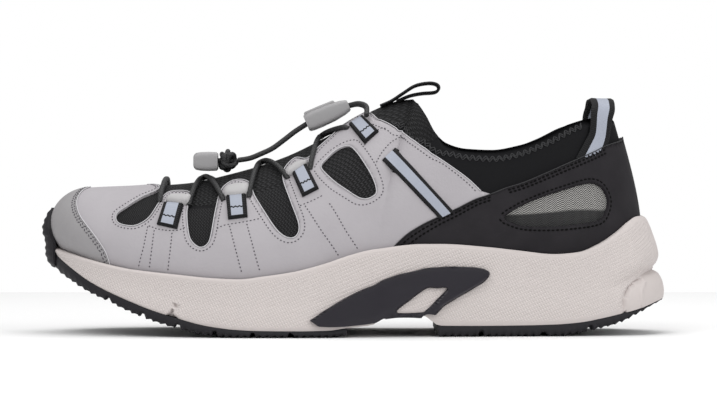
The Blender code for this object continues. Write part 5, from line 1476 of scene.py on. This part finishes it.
def make_tread(name, span, grooves):
    """A rubber tread piece: saw-tooth edges, lug rows and grooves."""
    steps = np.arange(span[0], span[1], 0.55)
    t = np.array([turn_of(s) for s in steps])
    cut = np.zeros(len(steps))
    for a, b in grooves:
        cut = np.maximum(cut, GROOVE_DEPTH * soft_step((steps - a) / 0.6) * soft_step((b - steps) / 0.6))
    low = ground(t)
    top_z = rubber_top(t) - 0.0001
    halves = []
    for side in BOTH:
        edge = wall_point(side, t, np.zeros(len(t)))[:, :2]
        way = plan_out(side, t)
        columns = []
        for inset, share, teeth in TREAD_EDGE:
            bite = tooth(steps, teeth)
            z = low + cut + bite + (top_z - low - cut - bite) * share
            out = inset * MM + 0.7 * tooth(steps, teeth)
            columns.append(np.column_stack([edge - way * out[:, None], z]))
        halves.append(columns)
    under = []
    for k in range(1, 24):
        share = k / 24
        here = halves[0][-1] + (halves[1][-1] - halves[0][-1]) * share
        inward = min(share, 1 - share)
        lug = ((steps + LUG_SLANT * inward) / LUG_PITCH) % 1.0
        depth = LUG_DEPTH * soft_step((inward - 0.03) / 0.03) * soft_step((0.32 - np.abs(lug - 0.5)) / 0.12)
        edge_part = tooth(steps, 1.0 - soft_step(inward / 0.06))
        z = low + np.maximum(cut, LUG_DEPTH - depth if inward > 0.03 else edge_part)
        under.append(np.column_stack([here[:, :2], z]))
    columns = halves[0] + under + halves[1][::-1]
    verts = np.array(columns).transpose(1, 0, 2).reshape(-1, 3)
    faces = tube_faces(len(steps), len(columns))
    piece(name, "black_rubber", verts, faces, None, [name], sharp=35)


def belt(side, t, q):
    """The waist's face round the foam: q from the rim (1) down to the edge (0.4) and the middle (0)."""
    t = np.asarray(t, float)
    q = np.asarray(q, float)
    wall = wall_point(side, t, np.clip((q - 0.4) / 0.6, 0, 1))
    middle = np.column_stack([step_of(t) * MM, np.zeros(len(t)), rubber_top(t)])
    edge = wall_point(side, t, np.zeros(len(t)))
    under = np.clip(q / 0.4, 0, 1)[:, None]
    return np.where((q >= 0.4)[:, None], wall, middle + (edge - middle) * under)


def make_shank():
    """The arch bridge: two wings with a window, joined under the waist, with a raised rim."""
    low = (0.4, 0.42)
    high = (0.85, 1.0)
    outlines = (SHANK_FRONT, SHANK_TOP, SHANK_BACK, SHANK_WINDOW)
    front, top, back, window = (locate(belt, dots, low, high) for dots in outlines)
    bridge_front = turn_of(16.0)
    bridge_back = turn_of(33.0)
    start = np.vstack([[(bridge_front, 0.4)], front])
    wing = rounded(flat(np.vstack([top, back])), 5)
    end = flat([(bridge_back, 0.4), (bridge_back, 0.0)])
    outline = np.vstack([flat([(bridge_front, 0.0)]), flat(start), wing, end])
    hole = rounded(flat(window), 5, closed=True)
    loops = [resampled(outline, 1.0, closed=True), resampled(hole, 0.8, closed=True)]
    open_lines = [wing, closed_line(hole)]
    flat_points, faces = net(loops, open_lines, 1.8, (0.3, 0.8, 1.5, 2.3))
    t = flat_points[:, 0] / FLAT_ALONG
    q = flat_points[:, 1] / FLAT_UP
    distance = away(flat_points, open_lines)
    rim_line = away(flat_points, [wing])
    height = 2 * GAP + SHANK_WALL * (0.4 + 0.6 * roll(distance, 0.7))
    height = height - 0.0004 * soft_step((rim_line - 1.1) / 0.6)
    verts = []
    triangles = []
    border = edges_of(faces)
    for side in BOTH:
        begin = sum(len(v) for v in verts)
        way = np.column_stack([plan_out(side, t), np.zeros(len(t))])
        lean = soft_step((q - 0.36) / 0.08)[:, None]
        normal = unit(way * lean + np.array([0.0, 0.0, -1.0]) * (1 - lean))
        base = belt(side, t, q)
        verts.append(base + normal * height[:, None])
        verts.append(base + normal * 0.0001)
        turned = faces if side == LATERAL else faces[:, ::-1]
        triangles += (turned + begin).tolist()
        n = len(flat_points)
        for a, b in border:
            if q[a] < 1e-6 and q[b] < 1e-6:
                continue
            quad = [begin + b, begin + a, begin + n + a, begin + n + b]
            triangles.append(quad if side == LATERAL else quad[::-1])
    piece("shank", "shank_plastic", np.vstack(verts), triangles, None, ["shank"])


def make_bumper():
    """The rubber tongue that climbs the toe's front."""
    rows = Table([(i, lift, half, share) for i, (lift, half, share) in enumerate(BUMPER)])
    at = np.linspace(0, len(BUMPER) - 1, 70)
    across = np.linspace(-1, 1, 45)
    v = np.linspace(0, 1, 101)
    face = []
    back = []
    for i in at:
        lift, half, share = (float(rows(k, np.array([i]))[0]) for k in (1, 2, 3))
        t = np.abs(across) * half / 100
        halves = []
        ways = []
        for side, part in ((LATERAL, t[across < 0]), (MEDIAL, t[across >= 0])):
            edge = wall_point(side, part, np.ones(len(part)))
            edge[:, 2] += lift * MM
            cap = at_height(sock_lines(side, part, v, GAP + CAP_SKIN), edge[:, 2])
            on_cap = soft_step((lift + BUMPER_BLEND[0]) / BUMPER_BLEND[1])
            halves.append(edge + (cap - edge) * on_cap)
            ways.append(np.column_stack([plan_out(side, part), np.zeros(len(part))]))
        here = np.vstack(halves)
        way = np.vstack(ways)
        rib = 0.0005 * (0.5 + 0.5 * np.sin(here[:, 2] / 0.0034 * 2 * math.pi)) * (1 - np.abs(across) ** 6)
        thick = share * BUMPER_WALL * (1 - 0.6 * np.abs(across) ** 4) + rib - 0.0003
        back.append(here + way * 0.0002)
        face.append(here + way * (0.0006 + thick)[:, None])
    face = list(np.vstack(face))
    back = list(np.vstack(back))
    k = len(across)
    n = len(face)
    faces = grid_faces(len(at), k)
    ring = border_of(len(at), k)
    for here, beyond in zip(ring, ring[1:] + ring[:1]):
        faces.append((beyond, here, n + here, n + beyond))
    piece("toe_bumper", "black_rubber", face + back, faces, None, ["toe_bumper"])


def stitched(name, finish, lines, surface, length, pitch, radius, slant=0.0):
    """Rows of short stitches that lie half sunk along flat lines."""
    ring = 6
    profile = [(-0.5, 0.3), (-0.32, 0.9), (0.0, 1.1), (0.32, 0.9), (0.5, 0.3)]
    one_stitch = tube_faces(len(profile), ring)
    verts = []
    faces = []
    for line in lines:
        for side in BOTH:
            t = line[:, 0] / FLAT_ALONG
            v = line[:, 1] / FLAT_UP
            path = surface(side, t, v)
            run = run_of(path)
            count = int(run[-1] / pitch)
            at = (np.arange(count) + 0.5) * pitch
            tv = np.column_stack([np.interp(at, run, t), np.interp(at, run, v)])
            centre = surface(side, tv[:, 0], tv[:, 1])
            normal = facing(sock, side, tv[:, 0], tv[:, 1])
            ahead = np.column_stack([np.interp(at, run, path[:, k]) for k in range(3)])
            further = np.column_stack([np.interp(at + 0.0004, run, path[:, k]) for k in range(3)])
            way = unit(further - ahead)
            over = unit(np.cross(normal, way))
            for k in range(count):
                turn = slant * (1 if k % 2 else -1)
                x = way[k] * math.cos(turn) + over[k] * math.sin(turn)
                y = np.cross(normal[k], x)
                start = len(verts)
                for share, size in profile:
                    for j in range(ring):
                        a = 2 * math.pi * j / ring
                        spoke = math.cos(a) * y + math.sin(a) * normal[k]
                        verts.append(centre[k] + x * share * length + radius * size * spoke)
                faces += [tuple(start + i for i in face) for face in one_stitch]
    piece(name, finish, verts, faces)


def make_stitches(lines):
    """Stitch rows beside every edge, seams down from the straps, and the zigzag under the collar."""
    on_skin = raised(GAP + SKIN)
    on_cap = raised(GAP + CAP_SKIN)
    throat = lines["throat"]
    window = closed_line(lines["side_window"])
    heel = closed_line(lines["heel_window"])
    grey = [rounded(flat(locate(on_skin, dots)), 8) for dots in SEAMS]
    for distance in (-2.2, 2.2):
        row = beside(throat, distance)
        quarter = np.vstack([lines["cap"][::-1], throat, lines["counter"]])
        if within(quarter, row).mean() > INSIDE_SHARE:
            grey += broken(row[within(quarter, row)], 6.0)
        ring = beside(window, distance)
        if within(ring, lines["side_window"][:1]).any():
            grey.append(ring)
    stitched("grey_stitches", "grey_thread", grey, on_skin, 0.0009, 0.0018, 0.00028)
    # Pale beads along the quarter's and cap's edges: painted highlights.
    beads = {
        "quarter_edge_highlight": (on_skin, [throat, window]),
        "cap_edge_highlight": (on_cap, [lines["cap"]]),
    }
    for name, (surface, edges) in beads.items():
        paths = [laid(surface, side, line) for line in edges for side in BOTH]
        cords(name, paths, [], EDGE_BEAD, "painted_edge_highlight")
    inside_cap = np.vstack([[(0.0, FLAT_UP), (0.0, HEM * FLAT_UP)], lines["cap"][::-1]])
    cap_rows = rows_inside(inside_cap, lines["cap"], (1.9, 3.9))
    stitched("cap_stitches", "grey_thread", cap_rows, on_cap, 0.0014, 0.0020, 0.00028, 0.5)
    black = []
    counter = np.vstack([lines["counter"][::-1], lines["back"], [(FLAT_ALONG, HEM * FLAT_UP)]])
    edge = np.vstack([lines["counter"][::-1], lines["back"]])
    for row in rows_inside(counter, edge, (1.8, 3.8)):
        black += broken(row, 6.0)
    for distance in (2.4, -2.4):
        ring = beside(heel, distance)
        if within(ring, lines["heel_window"][:1]).any():
            black.append(ring)
    on_counter = raised(GAP + COUNTER_SKIN)
    # The counter's black stitches, their colour darkened as painted shade in the stitch holes.
    stitched("black_stitches", "black_thread_and_hole_shade", black, on_counter, 0.0016, 0.0022, 0.00045)
    # A bead of lighter thread colour along the counter's top edge: a painted highlight.
    paths = [laid(on_counter, side, edge) for side in BOTH]
    cords("counter_edge_highlight", paths, [], EDGE_BEAD, "thread_and_edge_highlight")
    seam = rounded(flat(locate(sock, COLLAR_SEAM)), 8)
    rows = [seam, seam + (0.0, -1.4)]
    stitched("collar_zigzag", "thread_and_edge_highlight", rows, raised(0.0002), 0.0026, 0.0016, 0.00036, 0.9)


def broken(line, jump):
    """A line cut where it jumps further than a length."""
    gaps = np.linalg.norm(np.diff(line, axis=0), axis=1) > jump
    cuts = [0] + [int(i) + 1 for i in np.nonzero(gaps)[0]] + [len(line)]
    return [line[a:b] for a, b in zip(cuts, cuts[1:]) if b - a > 3]


def make_stage():
    """A plain pale floor and soft studio light."""
    bpy.context.scene.view_settings.view_transform = "Standard"
    bpy.ops.mesh.primitive_plane_add(size=FLOOR_SIZE, location=(0, -0.2, 0))
    floor = bpy.context.object
    floor.name = "floor"
    finish = Finish("floor", (0.88, 0.88, 0.88), 0.9, specular=0.1)
    floor.data.materials.append(finish.material)
    world = bpy.data.worlds.new("studio")
    world.use_nodes = True
    tree = world.node_tree
    seen_ray = tree.nodes.new("ShaderNodeLightPath").outputs["Is Camera Ray"]
    strength = tree.nodes.new("ShaderNodeMapRange")
    strength.inputs["To Min"].default_value = SKY_LIGHT
    strength.inputs["To Max"].default_value = SKY_SEEN
    tree.links.new(seen_ray, strength.inputs["Value"])
    tree.nodes["Background"].inputs["Color"].default_value = (1.0, 1.0, 1.0, 1)
    tree.links.new(strength.outputs[0], tree.nodes["Background"].inputs["Strength"])
    bpy.context.scene.world = world
    for name, place_, size, power in (
        ("key", (-0.5, -0.9, 1.3), 1.0, 9.0),
        ("fill", (0.9, -0.8, 0.7), 0.9, 5.0),
        ("top", (0.1, 0.3, 1.4), 1.2, 10.0),
    ):
        data = bpy.data.lights.new(name, "AREA")
        data.energy = power
        data.size = size
        light = bpy.data.objects.new(name, data)
        light.location = place_
        aim = Vector((0.0, 0.0, 0.05)) - Vector(place_)
        light.rotation_euler = aim.to_track_quat("-Z", "Y").to_euler()
        bpy.context.scene.collection.objects.link(light)


def make_camera():
    """Level, square to the shoe's outer side, as the photograph is taken."""
    data = bpy.data.cameras.new("camera")
    data.sensor_width = SENSOR
    data.lens = SENSOR * VIEW_FAR / (PICTURE_WIDTH * DOT)
    data.clip_end = 50.0
    camera = bpy.data.objects.new("camera", data)
    camera.location = (VIEW_ALONG + SHIFT[0], SHIFT[1] - VIEW_FAR, VIEW_UP + SHIFT[2])
    camera.rotation_euler = (math.pi / 2, 0.0, 0.0)
    bpy.context.scene.collection.objects.link(camera)
    bpy.context.scene.camera = camera


def main():
    make_camera()
    make_finishes()
    make_free_cords()
    make_lace()
    lines = skin_lines()
    make_sock(lines)
    make_windows(lines)
    make_slots()
    make_skins(lines)
    make_straps()
    make_pull_loops()
    make_midsole()
    make_insole()
    make_tread("outsole_front", TREAD_FRONT, FRONT_GROOVES)
    make_tread("outsole_heel", TREAD_HEEL, HEEL_GROOVES)
    make_shank()
    make_bumper()
    make_stitches(lines)
    make_stage()


main()
bpy.context.view_layer.update()
